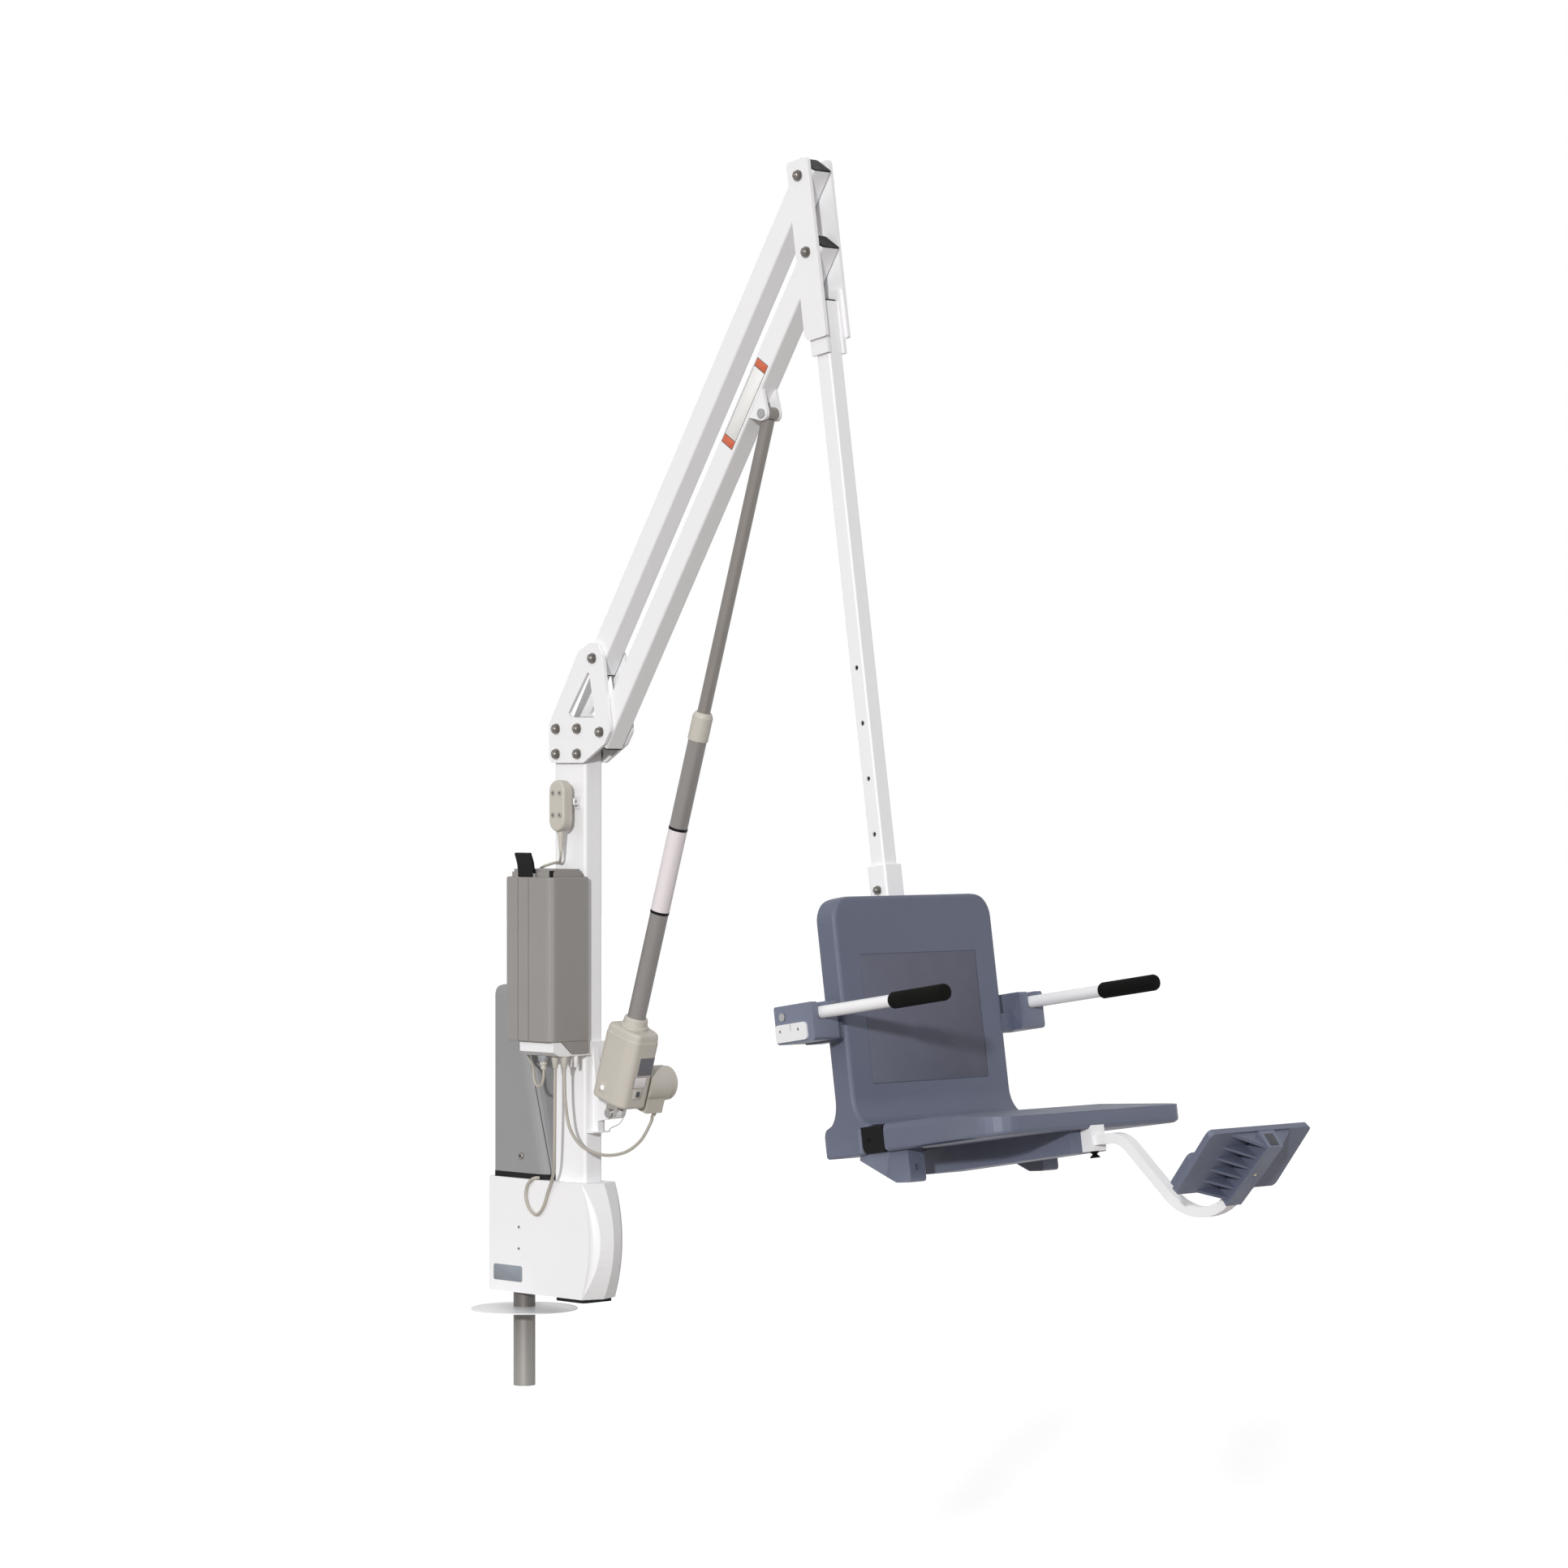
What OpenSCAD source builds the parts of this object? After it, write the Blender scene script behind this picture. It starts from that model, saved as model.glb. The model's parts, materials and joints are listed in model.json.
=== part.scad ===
// Pool patient lift: a deck post, a turning column, two parallel arms and a hanging chair.
// Units are millimetres. The origin is on the axis of the post at deck level.
// +X points from the post to the chair, +Z is up. Drawn with the arms raised.

/* [Post and deck ring] */
// Outer diameter of the post
post_d = 48.3; // [46:0.1:52]
// Wall of the post
post_wall = 3.7; // [2.5:0.1:5]
// Depth of the post below the deck
post_depth = 168; // [120:1:220]
// Diameter of the deck ring
ring_d = 236; // [180:1:280]
// Thickness of the deck ring at its bore
ring_t = 6; // [4:0.5:10]

/* [Turning base] */
// Height of the thrust collar's seat above the deck
seat_h = 52; // [48:1:60]
// Outer diameter of the bearing tube
bearing_d = 70; // [66:1:76]
// Thickness of the bearing bushes
bush_t = 2.7; // [2:0.1:4]
// Thickness of the base plate
plate_t = 8; // [6:1:10]
// Height of the base enclosure
base_h = 251; // [240:1:280]
// Half width of the base enclosure
base_hw = 49; // [47:0.5:56]
// Distance from the post to the back of the base enclosure
base_back = 65; // [62:1:80]
// Wall of the enclosure and its front cover
base_wall = 3; // [2:0.5:4]
// Distance from the post to the front edge of the cover's side
cover_x = 269; // [262:1:285]
// Height of the cover's crease beyond that edge
cover_crease = 27; // [15:1:40]
// Module of the swivel gears
gear_m = 2.5; // [2.25:0.25:2.75]

/* [Motor cover] */
// Height of the motor cover
motor_cover_h = 416; // [380:1:450]
// Half width of the motor cover
motor_cover_hw = 42; // [38:0.5:46]
// Wall of the motor cover
motor_cover_wall = 3; // [2:0.5:4]
// Diameter of the swivel motor
swivel_motor_d = 64; // [50:1:70]
// Length of the swivel motor above its gearbox
swivel_motor_l = 228; // [150:1:250]

/* [Mast and arms] */
// Depth of the mast tube, front to back
mast_depth = 101.6; // [90:0.1:110]
// Distance from the post to the back of the mast
mast_x = 129.5; // [128:0.5:138]
// Width of the square arm tubes and of the mast
tube_w = 50.8; // [44:0.1:54]
// Wall of the mast
mast_wall = 4.8; // [3:0.1:6]
// Wall of the arm tubes
arm_wall = 4; // [3:0.1:6]
// Length of each arm between its pins
arm_len = 1170; // [1100:1:1240]
// Angle of the raised arms above level
arm_raise = 57; // [52:0.5:58]
// Height of the lower arm's pivot above the deck
pivot_h = 1270; // [1240:1:1320]
// Distance from the mast's front to the lower arm's pivot
pivot_reach = 59.4; // [56:0.1:66]
// Distance between the pins of the two arms
pin_gap = 161.4; // [156:0.1:170]
// Length of the arm tubes beyond their pins
arm_over = 29; // [26:0.5:30]
// Thickness of the bracket and hanger plates
side_plate_t = 8; // [6:0.5:10]
// Thickness of the washers beside the arm tubes
washer_t = 1.8; // [1.5:0.1:3]
// Diameter of the bolts through the arms
bolt_d = 12.7; // [10:0.1:14]
// Diameter of the cap nuts
nut_d = 20; // [18:0.5:22]

/* [Actuator] */
// Distance from the mast's front to the actuator's foot pin
foot_reach = 70; // [66:1:80]
// Distance along the lower arm from its pivot to the ears
lug_along = 820.3; // [790:0.1:850]
// Distance of the ears' pin below the middle of the lower arm
lug_drop = 53; // [50:0.5:60]
// Distance from the foot pin to the top of the actuator housing
housing_top = 197; // [185:1:215]
// Width of the actuator housing across the lift
housing_w = 82; // [74:1:88]
// Diameter of the actuator's outer tube
act_tube_d = 40; // [36:0.5:44]
// Distance from the foot pin to the end of the outer tube
act_tube_end = 896; // [880:1:910]
// Diameter of the actuator rod
rod_d = 28; // [22:0.5:30]
// Diameter of the actuator's motor
act_motor_d = 78; // [66:1:80]
// Length of the actuator's motor beside the housing
act_motor_l = 82; // [70:1:100]
// Diameter of the actuator's pins
act_pin_d = 12; // [10:0.5:14]

/* [Hanger and pole] */
// Tilt of the chair from level
chair_tilt = 8.6; // [6:0.1:9]
// Width of the hanger plates, front to back
hanger_w = 63; // [58:1:70]
// Width of the square seat pole
pole_w = 38; // [34:0.5:41]
// Wall of the seat pole
pole_wall = 3; // [2:0.5:4]
// Width of the square sleeve on the chair
sleeve_w = 50.8; // [48:0.1:54]
// Distance between the pole's height holes
hole_pitch = 114.3; // [100:0.1:125]

/* [Chair] */
// Width of the chair's back
seat_w = 456; // [430:1:480]
// Distance from the upper arm pin down to the top of the back
back_top = 1503; // [1490:1:1520]
// Thickness of the chair's back
back_t = 55; // [50:1:60]
// Distance from the upper arm pin down to the seat's top
seat_top = 1962; // [1950:1:1975]
// Thickness of the seat slab
seat_t = 55; // [50:1:60]
// Length from the front of the sleeve to the front of the seat
seat_len = 500; // [470:1:520]
// Height of the back's corner rounding
back_r = 48; // [30:1:60]

/* [Armrests] */
// Diameter of the armrest tubes
rest_d = 25; // [22:0.5:27]
// Distance of each armrest tube from the middle of the chair
rest_y = 302; // [300:0.5:306]
// Distance from the pivot to the tip of an armrest
rest_len = 426; // [380:1:460]
// Length of each foam grip
grip_l = 147; // [110:1:180]
// Diameter of each foam grip
grip_d = 33; // [30:0.5:38]

/* [Footrest] */
// Width of the footrest bar
foot_bar_w = 25; // [20:0.5:30]
// Thickness of the footrest bar
foot_bar_t = 20; // [16:0.5:22]
// Half width of the footplate
footplate_hw = 144; // [120:1:170]
// Depth of the footplate along its slope
footplate_l = 149; // [145:1:160]
// Thickness of the footplate
footplate_t = 13; // [10:0.5:16]

/* [Battery and controls] */
// Width of the battery box along the mast
battery_w = 154; // [140:1:165]
// Depth of the battery box beside the mast
battery_d = 109; // [95:1:120]
// Height of the battery box's body
battery_h = 355; // [320:1:380]
// Height of the lower arm's pivot above the bottom of the battery box
battery_drop = 668; // [650:1:680]
// Length of the handset
handset_l = 112; // [100:1:120]
// Width of the handset
handset_w = 50; // [44:1:56]
// Thickness of the handset
handset_t = 27; // [22:1:30]
// Diameter of the actuator lead and the swivel lead
lead_d = 7; // [5:0.5:8]
// Diameter of the handset lead
hand_lead_d = 6; // [5:0.5:7]

/* [Hidden] */
$fn = 48;

// Running gap between pieces that move, and the fit between pieces that don't
gap = 0.3;
fit = 0.15;

// Colours
white = [0.95, 0.96, 0.97];
steel = [0.62, 0.62, 0.63];
dark = [0.47, 0.46, 0.45];
black = [0.06, 0.06, 0.07];
cover_gray = [0.56, 0.56, 0.57];
beige = [0.72, 0.69, 0.65];
navy = [0.38, 0.41, 0.49];
nylon = [0.9, 0.89, 0.84];

// Turning base
post_r = post_d / 2;
collar_r = post_r + 8;
collar_t = 6;
flange_t = 2;
bore_r = post_r + gap + bush_t + fit;
plate_z = seat_h + flange_t;
frame_z = plate_z + plate_t;
plate_hw = base_hw - base_wall - 4;
base_z = seat_h - 10;
base_top = base_z + base_h;
gear_t = 20;
gear_top = base_top - base_wall - 18;
gear_z = gear_top - gear_t;
top_plate_z = gear_z - 6 - plate_t;
ring_teeth = 28;
pinion_teeth = 12;
pinion_x = gear_m * (ring_teeth + pinion_teeth) / 2;
shaft_d = 14;
gearbox_h = 79;
gasket_t = 7;
motor_cover_z = base_top + gasket_t;
motor_cover_back = -base_back + 9;
motor_cover_front = mast_x - 3;

// Mast and arms
mast_front = mast_x + mast_depth;
mast_hw = tube_w / 2;
seam_x = mast_front + 5;
bracket_in = mast_hw + gap + washer_t;
bracket_out = bracket_in + side_plate_t;
low_pivot = [mast_front + pivot_reach, pivot_h];
up_pivot = low_pivot + pin_gap * [-sin(chair_tilt), cos(chair_tilt)];
mast_top = pivot_h + 30;
arm_dir = [cos(arm_raise), sin(arm_raise)];
low_tip = low_pivot + arm_len * arm_dir;
up_tip = up_pivot + arm_len * arm_dir;
bolt_r = bolt_d / 2;
nut_h = 13;
clamp_x = [mast_x + 18.2, mast_front - 13.9];
clamp_z = [pivot_h + 8, pivot_h - 46.7];

// Actuator: the foot pin lies as far from the lower arm's pivot as the ears' pin does
lug_pin = low_pivot + lug_along * arm_dir + lug_drop * [arm_dir[1], -arm_dir[0]];
lug_radius = norm(lug_pin - low_pivot);
foot_x = mast_front + foot_reach;
foot_pin = [foot_x, pivot_h - sqrt(pow(lug_radius, 2) - pow(foot_x - low_pivot[0], 2))];
act_run = lug_pin - foot_pin;
act_tilt = atan2(act_run[0], act_run[1]);
act_len = norm(act_run);
lug_hw = 8;
fork_hw = lug_hw + gap + 10;
ear_in = rod_d / 2 + gap;
ear_out = ear_in + side_plate_t;
housing_base = 27;
housing_back = 47;
housing_front = 54;
act_motor_p = 14;
act_motor_a = 69;

// Chair, in its own tilted frame: x forward and z up from the upper arm's pin
pole_top = -265;
plate_low = -343;
back_hw = seat_w / 2;
rest_z = -1733;
bolt_z = -1485;

// Points along a rounded outline: corner points p with radii r, k steps per corner
function unit(v) = v / norm(v);
function turn(v, a) = [v[0] * cos(a) - v[1] * sin(a), v[0] * sin(a) + v[1] * cos(a)];
function arc(o, s, e, k) =
    let (u = s - o, w = e - o, z = u[0] * w[1] - u[1] * w[0],
         a = acos(min(1, (u * w) / (norm(u) * norm(w)))))
    [for (i = [0:k]) o + turn(u, sign(z) * a * i / k)];
function round_corner(a, b, c, r, k) =
    let (u = unit(a - b), w = unit(c - b), h = acos(max(-1, min(1, u * w))) / 2,
         t = r / tan(h), o = b + unit(u + w) * r / sin(h))
    arc(o, b + u * t, b + w * t, k);
function fillet(p, r, k = 5) =
    let (n = len(p))
    [for (i = [0:n - 1])
        let (q = is_list(r) ? r[i] : r)
        each q <= 0 ? [p[i]] : round_corner(p[(i + n - 1) % n], p[i], p[(i + 1) % n], q, k)];
function box_pts(x0, x1, y0, y1) = [[x0, y0], [x1, y0], [x1, y1], [x0, y1]];

// Solids from outlines: along Z in the XY plane, along Y in the XZ plane, along X in the YZ plane
module prism_z(p, z0, z1) translate([0, 0, z0]) linear_extrude(z1 - z0) polygon(p);
module prism_y(p, y0, y1) translate([0, y1, 0]) rotate([90, 0, 0]) linear_extrude(y1 - y0) polygon(p);
module prism_x(p, x0, x1) translate([x0, 0, 0]) rotate([90, 0, 90]) linear_extrude(x1 - x0) polygon(p);
module bar_y(x, z, r, y0, y1) translate([x, y1, z]) rotate([90, 0, 0]) cylinder(h = y1 - y0, r = r);

// Closed skin over a stack of rings of points, each ring turning left about the stacking direction
module skin(rings) {
    n = len(rings[0]);
    m = len(rings);
    sides = [for (k = [0:m - 2], i = [0:n - 1])
        let (j = (i + 1) % n)
        each [[k * n + i, (k + 1) * n + i, (k + 1) * n + j], [k * n + i, (k + 1) * n + j, k * n + j]]];
    caps = [[for (i = [0:n - 1]) i], [for (i = [n - 1:-1:0]) (m - 1) * n + i]];
    polyhedron(points = [for (r = rings) each r], faces = concat(sides, caps), convexity = 6);
}
function at_z(p, z) = [for (q = p) [q[0], q[1], z]];

// Cords: a smooth route through points, swept with a ring of sides
function between(a, b, c, d, t) =
    0.5 * (2 * b + (c - a) * t + (2 * a - 5 * b + 4 * c - d) * t * t + (3 * b - a - 3 * c + d) * t * t * t);
function route(p, step) =
    let (n = len(p))
    concat(
        [for (i = [0:n - 2])
            let (a = i == 0 ? 2 * p[0] - p[1] : p[i - 1],
                 d = i == n - 2 ? 2 * p[n - 1] - p[n - 2] : p[i + 2],
                 k = max(1, round(norm(p[i + 1] - p[i]) / step)))
            each [for (j = [0:k - 1]) between(a, p[i], p[i + 1], d, j / k)]],
        [p[n - 1]]);
function heading(p, i) = unit(p[min(i + 1, len(p) - 1)] - p[max(i - 1, 0)]);
function ring_at(o, t, d, sides, side) =
    let (u = unit(cross(side, t)), w = cross(t, u))
    [for (i = [0:sides - 1]) o + d / 2 * (cos(360 * i / sides) * u + sin(360 * i / sides) * w)];
module cord(points, d, sides, step, side) {
    p = route(points, step);
    skin([for (i = [0:len(p) - 1]) ring_at(p[i], heading(p, i), d, sides, side)]);
}

// Gear outline with slim teeth
function on_circle(r, a) = [r * cos(a), r * sin(a)];
function gear_pts(n, m, phase) =
    let (p = 360 / n, c = n * m / 2)
    [for (i = [0:n - 1])
        let (a = i * p + phase)
        each [on_circle(c - 1.2 * m, a - 0.27 * p), on_circle(c, a - 0.2 * p),
              on_circle(c + 0.75 * m, a - 0.1 * p), on_circle(c + 0.75 * m, a + 0.1 * p),
              on_circle(c, a + 0.2 * p), on_circle(c - 1.2 * m, a + 0.27 * p)]];

// Domed cap nut and washer standing out along +Z from a plate's face
module cap_nut(d = nut_d) {
    cylinder(h = 2, d = d + 4);
    translate([0, 0, 2]) cylinder(h = nut_h - 7, d = d, $fn = 6);
    translate([0, 0, nut_h - 5]) intersection() {
        translate([0, 0, -d * 0.2]) sphere(d = d * 0.94);
        cylinder(h = 12, d = d);
    }
}

// Bolt along Y with a cap nut at each end of its grip
module capped_bolt(x, z, grip) translate([x, 0, z]) rotate([90, 0, 0]) {
    translate([0, 0, -grip]) cylinder(h = 2 * grip, r = bolt_r);
    translate([0, 0, grip]) cap_nut();
    mirror([0, 0, 1]) translate([0, 0, grip]) cap_nut();
}

// Frames: along the arms, the actuator and the chair
module along_arm(p) translate([p[0], 0, p[1]]) rotate([0, -arm_raise, 0]) children();
module on_actuator() translate([foot_pin[0], 0, foot_pin[1]]) rotate([0, act_tilt, 0]) children();
module on_chair() translate([up_tip[0], 0, up_tip[1]]) rotate([0, -chair_tilt, 0]) children();

// ---- Post, ring and gears ----

// Depth of the seal groove in the post, inside the deck ring
seal_groove = 0.5;
module anchor_post() color(steel) difference() {
    union() {
        translate([0, 0, -post_depth]) cylinder(h = post_depth + gear_top, r = post_r);
        translate([0, 0, seat_h - gap - collar_t]) cylinder(h = collar_t, r = collar_r);
    }
    translate([0, 0, -post_depth - 1]) cylinder(h = post_depth + gear_top + 2, r = post_r - post_wall);
    rotate_extrude() translate([post_r - seal_groove, 0]) square([seal_groove + 1, ring_t / 2]);
}

module escutcheon() color(white) rotate_extrude($fn = 96)
    polygon([[post_r + fit, 1], [post_r + 2, 1], [post_r + 2, 0], [ring_d / 2, 0],
             [ring_d / 2, ring_t * 0.3], [ring_d / 2 - 2, ring_t * 0.45],
             [ring_d * 0.36, ring_t * 0.8], [ring_d * 0.24, ring_t], [post_r + fit, ring_t]]);

module fixed_gear() color(dark) difference() {
    prism_z(gear_pts(ring_teeth, gear_m, 0), gear_z, gear_top);
    translate([0, 0, gear_z - 1]) cylinder(h = gear_t + 2, r = post_r + fit);
}

module drive_pinion() color(dark) translate([pinion_x, 0, 0]) {
    prism_z(gear_pts(pinion_teeth, gear_m, 180 / pinion_teeth), gear_z, gear_top);
    translate([0, 0, gear_top]) cylinder(h = base_top - gear_top + 14, d = shaft_d);
}

// ---- Turning base ----

module base_frame() color(steel) difference() {
    union() {
        translate([10 - base_back, -plate_hw, plate_z])
            cube([base_back - 10 + mast_front, 2 * plate_hw, plate_t]);
        translate([0, 0, frame_z]) cylinder(h = top_plate_z - frame_z, d = bearing_d);
        translate([-bearing_d / 2, -bearing_d / 2, top_plate_z])
            cube([bearing_d / 2 + mast_x - fit, bearing_d, plate_t]);
    }
    translate([0, 0, plate_z - 1]) cylinder(h = gear_z - plate_z, r = bore_r);
}

module post_bushes() color(nylon) difference() {
    union() {
        translate([0, 0, seat_h]) cylinder(h = flange_t, r = collar_r);
        translate([0, 0, plate_z]) cylinder(h = 30, r = bore_r - fit);
        translate([0, 0, top_plate_z + plate_t - 30]) cylinder(h = 30, r = bore_r - fit);
    }
    translate([0, 0, seat_h - 1]) cylinder(h = gear_z - seat_h, r = post_r + gap);
}

module base_enclosure() color(white) difference() {
    prism_z(fillet(box_pts(-base_back, seam_x, -base_hw, base_hw), [6, 0, 0, 6]), base_z, base_top);
    prism_z(fillet(box_pts(base_wall - base_back, seam_x + 1, base_wall - base_hw, base_hw - base_wall),
            [3, 0, 0, 3]), base_z - 1, base_top - base_wall);
    translate([mast_x - gap, -mast_hw - gap, base_top - base_wall - 1])
        cube([mast_depth + 2 * gap, tube_w + 2 * gap, base_wall + 2]);
    translate([pinion_x, 0, base_top - base_wall - 1]) cylinder(h = base_wall + 2, d = shaft_d + 4);
}

// Plan outline of the front cover at height z, drawn in by w
function bow(z) = pow((z - base_z - base_h / 2) / (base_h / 2), 2);
function cover_plan(z, w) =
    let (q = min(1, bow(z)), e = cover_x - 24 * q - w, hw = base_hw - w,
         c = e + cover_crease - 9 * q, by = hw - 19 * (1 - q) - 0.02,
         bx = c - (c - e) * by / hw * (0.6 + 0.4 * q),
         half = [[seam_x - (w > 0 ? 1 : 0), hw], [e, hw],
                 for (k = [1:3]) let (t = k / 4)
                     [e + (bx - e) * t - 4 * (1 - q) * sin(180 * t), hw + (by - hw) * t],
                 [bx, by]])
    concat([for (p = half) [p[0], -p[1]]], [[c, 0]], [for (i = [len(half) - 1:-1:0]) half[i]]);
module front_cover() color(white) difference() {
    skin([for (i = [0:14]) let (z = base_z + base_h * i / 14) at_z(cover_plan(z, 0), z)]);
    skin([for (i = [0:14]) let (z = base_z - 1 + (base_h + 1 - base_wall) * i / 14)
        at_z(cover_plan(z, base_wall), z)]);
}

module base_seals() color(black) {
    difference() {
        prism_z(motor_plan(motor_cover_front, 0, -0.5), base_top, motor_cover_z);
        prism_z(motor_plan(motor_cover_front, 0, 6), base_top - 1, motor_cover_z + 1);
    }
    prism_z(fillet(box_pts(mast_x + 25, seam_x + 9, gap - base_hw + base_wall + 3, base_hw - base_wall - 3 - gap),
            [3, 8, 8, 3]), base_z - 8, plate_z);
}

// ---- Motor cover and swivel motor ----

// Plan outline of the motor cover with its front at x, its back moved in by s and all drawn in by w
function motor_plan(x, s, w) =
    fillet(box_pts(motor_cover_back + s + w, x - w, w - motor_cover_hw, motor_cover_hw - w),
        [10 - w / 2, 36 - w, 36 - w, 10 - w / 2], 6);
// Front of the cover at the share t of its height
function motor_front(t) = motor_cover_front - (motor_cover_front - 42) *
    (t < 0.04 ? 0 : t < 0.62 ? (t - 0.04) * 1.17 : 0.679 + 0.321 * sin(90 * (t - 0.62) / 0.38));
module motor_cover() color(cover_gray) difference() {
    skin([for (t = [0, 0.04, 0.12, 0.25, 0.4, 0.62, 0.7, 0.78, 0.86, 0.95, 0.975, 0.99, 1])
        let (k = t < 0.95 ? 0 : 14 * (1 - sqrt(max(0, 1 - pow((t - 0.95) / 0.05, 2)))))
        at_z(motor_plan(motor_front(t) - k / 2, k, k / 2), motor_cover_z + t * motor_cover_h)]);
    skin([for (t = [-0.01, 0.04, 0.12, 0.25, 0.4, 0.62, 0.7, 0.78, 0.86, 0.94, 0.965, 0.98])
        let (k = t < 0.94 ? 0 : 14 * (1 - sqrt(max(0, 1 - pow((t - 0.94) / 0.06, 2)))))
        at_z(motor_plan(motor_front(t) - k / 2, k, k / 2 + motor_cover_wall), motor_cover_z + t * motor_cover_h)]);
}

module rotation_gearmotor() color(dark) {
    difference() {
        translate([-20, -30, base_top]) cube([pinion_x + 55, 60, gearbox_h]);
        translate([pinion_x, 0, base_top - 1]) cylinder(h = 17, d = shaft_d + 2 * gap);
    }
    translate([5, 0, base_top + gearbox_h]) cylinder(h = swivel_motor_l, d = swivel_motor_d);
}

// ---- Mast ----

module mast_tube() color(white) difference() {
    prism_z(fillet(box_pts(mast_x, mast_front, -mast_hw, mast_hw), 7, 4), frame_z, mast_top);
    prism_z(fillet(box_pts(mast_x + mast_wall, mast_front - mast_wall, mast_wall - mast_hw, mast_hw - mast_wall),
            3, 2), frame_z - 1, mast_top + 1);
    for (x = clamp_x, z = clamp_z) bar_y(x, z, bolt_r + fit, -mast_hw - 1, mast_hw + 1);
}

// Side plates that carry both arm pivots
bracket_pts = [
    up_pivot + [-12, 33], up_pivot + [12, 33], up_pivot + [33, 4], low_pivot + [32, 2],
    low_pivot + [13.5, -26], [mast_front + 4.5, pivot_h - 66], [mast_x + 3, pivot_h - 66],
    [mast_x - 6.2, pivot_h - 56], [mast_x - 6.2, pivot_h + 19], up_pivot + [-47, 15]
];
window_pts = [
    up_pivot + [-12.7, -24.6], [mast_x + 56, pivot_h + 40], [mast_x + 67, pivot_h + 33],
    [low_pivot[0] - 15.5, pivot_h + 32]
];
module mast_brackets() color(white) difference() {
    for (s = [-1, 1]) prism_y(fillet(bracket_pts, [14, 14, 14, 14, 10, 8, 8, 6, 8, 10], 3),
        s > 0 ? bracket_in : -bracket_out, s > 0 ? bracket_out : -bracket_in);
    prism_y(fillet(window_pts, [4, 3, 3, 4], 3), -bracket_out - 1, bracket_out + 1);
    for (x = clamp_x, z = clamp_z) bar_y(x, z, bolt_r + fit, -bracket_out - 1, bracket_out + 1);
    for (p = [low_pivot, up_pivot]) bar_y(p[0], p[1], bolt_r + fit, -bracket_out - 1, bracket_out + 1);
}

// Washers on both sides of a tube, against the plates
module spacer_pair(x, z, inner, outer) for (s = [-1, 1]) difference() {
    bar_y(x, z, bolt_r + 6, s > 0 ? inner : -outer, s > 0 ? outer : -inner);
    bar_y(x, z, bolt_r - 1, -outer - 1, outer + 1);
}
module mast_bracket_bolts() color(dark) {
    for (x = clamp_x, z = clamp_z) {
        capped_bolt(x, z, bracket_out);
        spacer_pair(x, z, mast_hw, bracket_in);
    }
    for (p = [low_pivot, up_pivot]) {
        capped_bolt(p[0], p[1], bracket_out);
        spacer_pair(p[0], p[1], mast_hw + gap, bracket_in);
    }
}

// Foot bracket: a plate on the mast, a lip below it and one lug for the actuator's fork
module actuator_bracket() color(white) difference() {
    union() {
        translate([mast_front, -mast_hw, foot_pin[1] - 43]) cube([6, tube_w, 195]);
        translate([mast_front, -mast_hw, foot_pin[1] - 46]) cube([26, tube_w, 3]);
        prism_y(concat(
            [[mast_front + 5, foot_pin[1] + 148], [mast_front + 5, foot_pin[1] - 44],
             [mast_front + 22, foot_pin[1] - 44], [mast_front + 22, foot_pin[1] - 20]],
            [for (a = [-100:20:60]) foot_pin + on_circle(13, a)],
            [[foot_pin[0] - 18, foot_pin[1] + 14], [mast_front + 24, foot_pin[1] + 26],
             [mast_front + 16, foot_pin[1] + 60]]), -lug_hw, lug_hw);
    }
    bar_y(foot_pin[0], foot_pin[1], act_pin_d / 2 + fit, -lug_hw - 1, lug_hw + 1);
}

module actuator_base_pin() color(steel) {
    bar_y(foot_pin[0], foot_pin[1], act_pin_d / 2, -fork_hw - gap, fork_hw + gap);
    bar_y(foot_pin[0], foot_pin[1], act_pin_d / 2 + 4, -fork_hw - gap - 5, -fork_hw - gap);
    bar_y(foot_pin[0], foot_pin[1], act_pin_d / 2 + 2, fork_hw + gap, fork_hw + gap + 3);
}

// ---- Controls beside the mast ----

battery_z = pivot_h - battery_drop;
box_z = battery_z - 31;
box_y = -mast_hw - fit;
battery_y = box_y - 6;
near_y = battery_y - gap - battery_d + 11;
box_x0 = mast_x + 6;
box_x1 = box_x0 + 110;
module control_box() color(white) {
    prism_x(fillet([[near_y, battery_z - gap], [near_y, box_z + 9], [near_y + 20, box_z],
             [box_y, box_z], [box_y, box_z + 3.7], [near_y + 52, box_z + 3.7], [near_y + 22, battery_z - gap]],
            [2, 2, 2, 0, 0, 2, 2], 3), box_x0, box_x1);
    translate([mast_x + 8, battery_y, box_z + 3]) cube([mast_depth - 16, box_y - battery_y, battery_h - 40]);
}

// Plugs under the control box: diameter, x, y and lower end of each
plugs = [[17, box_x0 + 45, near_y + 29, box_z - 30], [11.5, box_x0 + 72, near_y + 39, box_z - 16],
         [11.5, box_x0 + 102, near_y + 39, box_z - 16]];
handset_x = mast_x + 56.5;
handset_y = -mast_hw - 30.6;
handset_z = pivot_h - 159.5;
module lead_plugs() color(beige) {
    for (p = plugs) {
        translate([p[1], p[2], p[3] + 10]) cylinder(h = box_z - p[3] - 10, d = p[0]);
        translate([p[1], p[2], p[3]]) cylinder(h = 10, d = p[0] * 0.72);
    }
    translate([handset_x, handset_y, handset_z - handset_l / 2 - 42])
        rotate_extrude() polygon([[0, 0], [4.2, 0], [4.6, 12], [7, 34], [7, 45.8], [0, 45.8]]);
}

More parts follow.
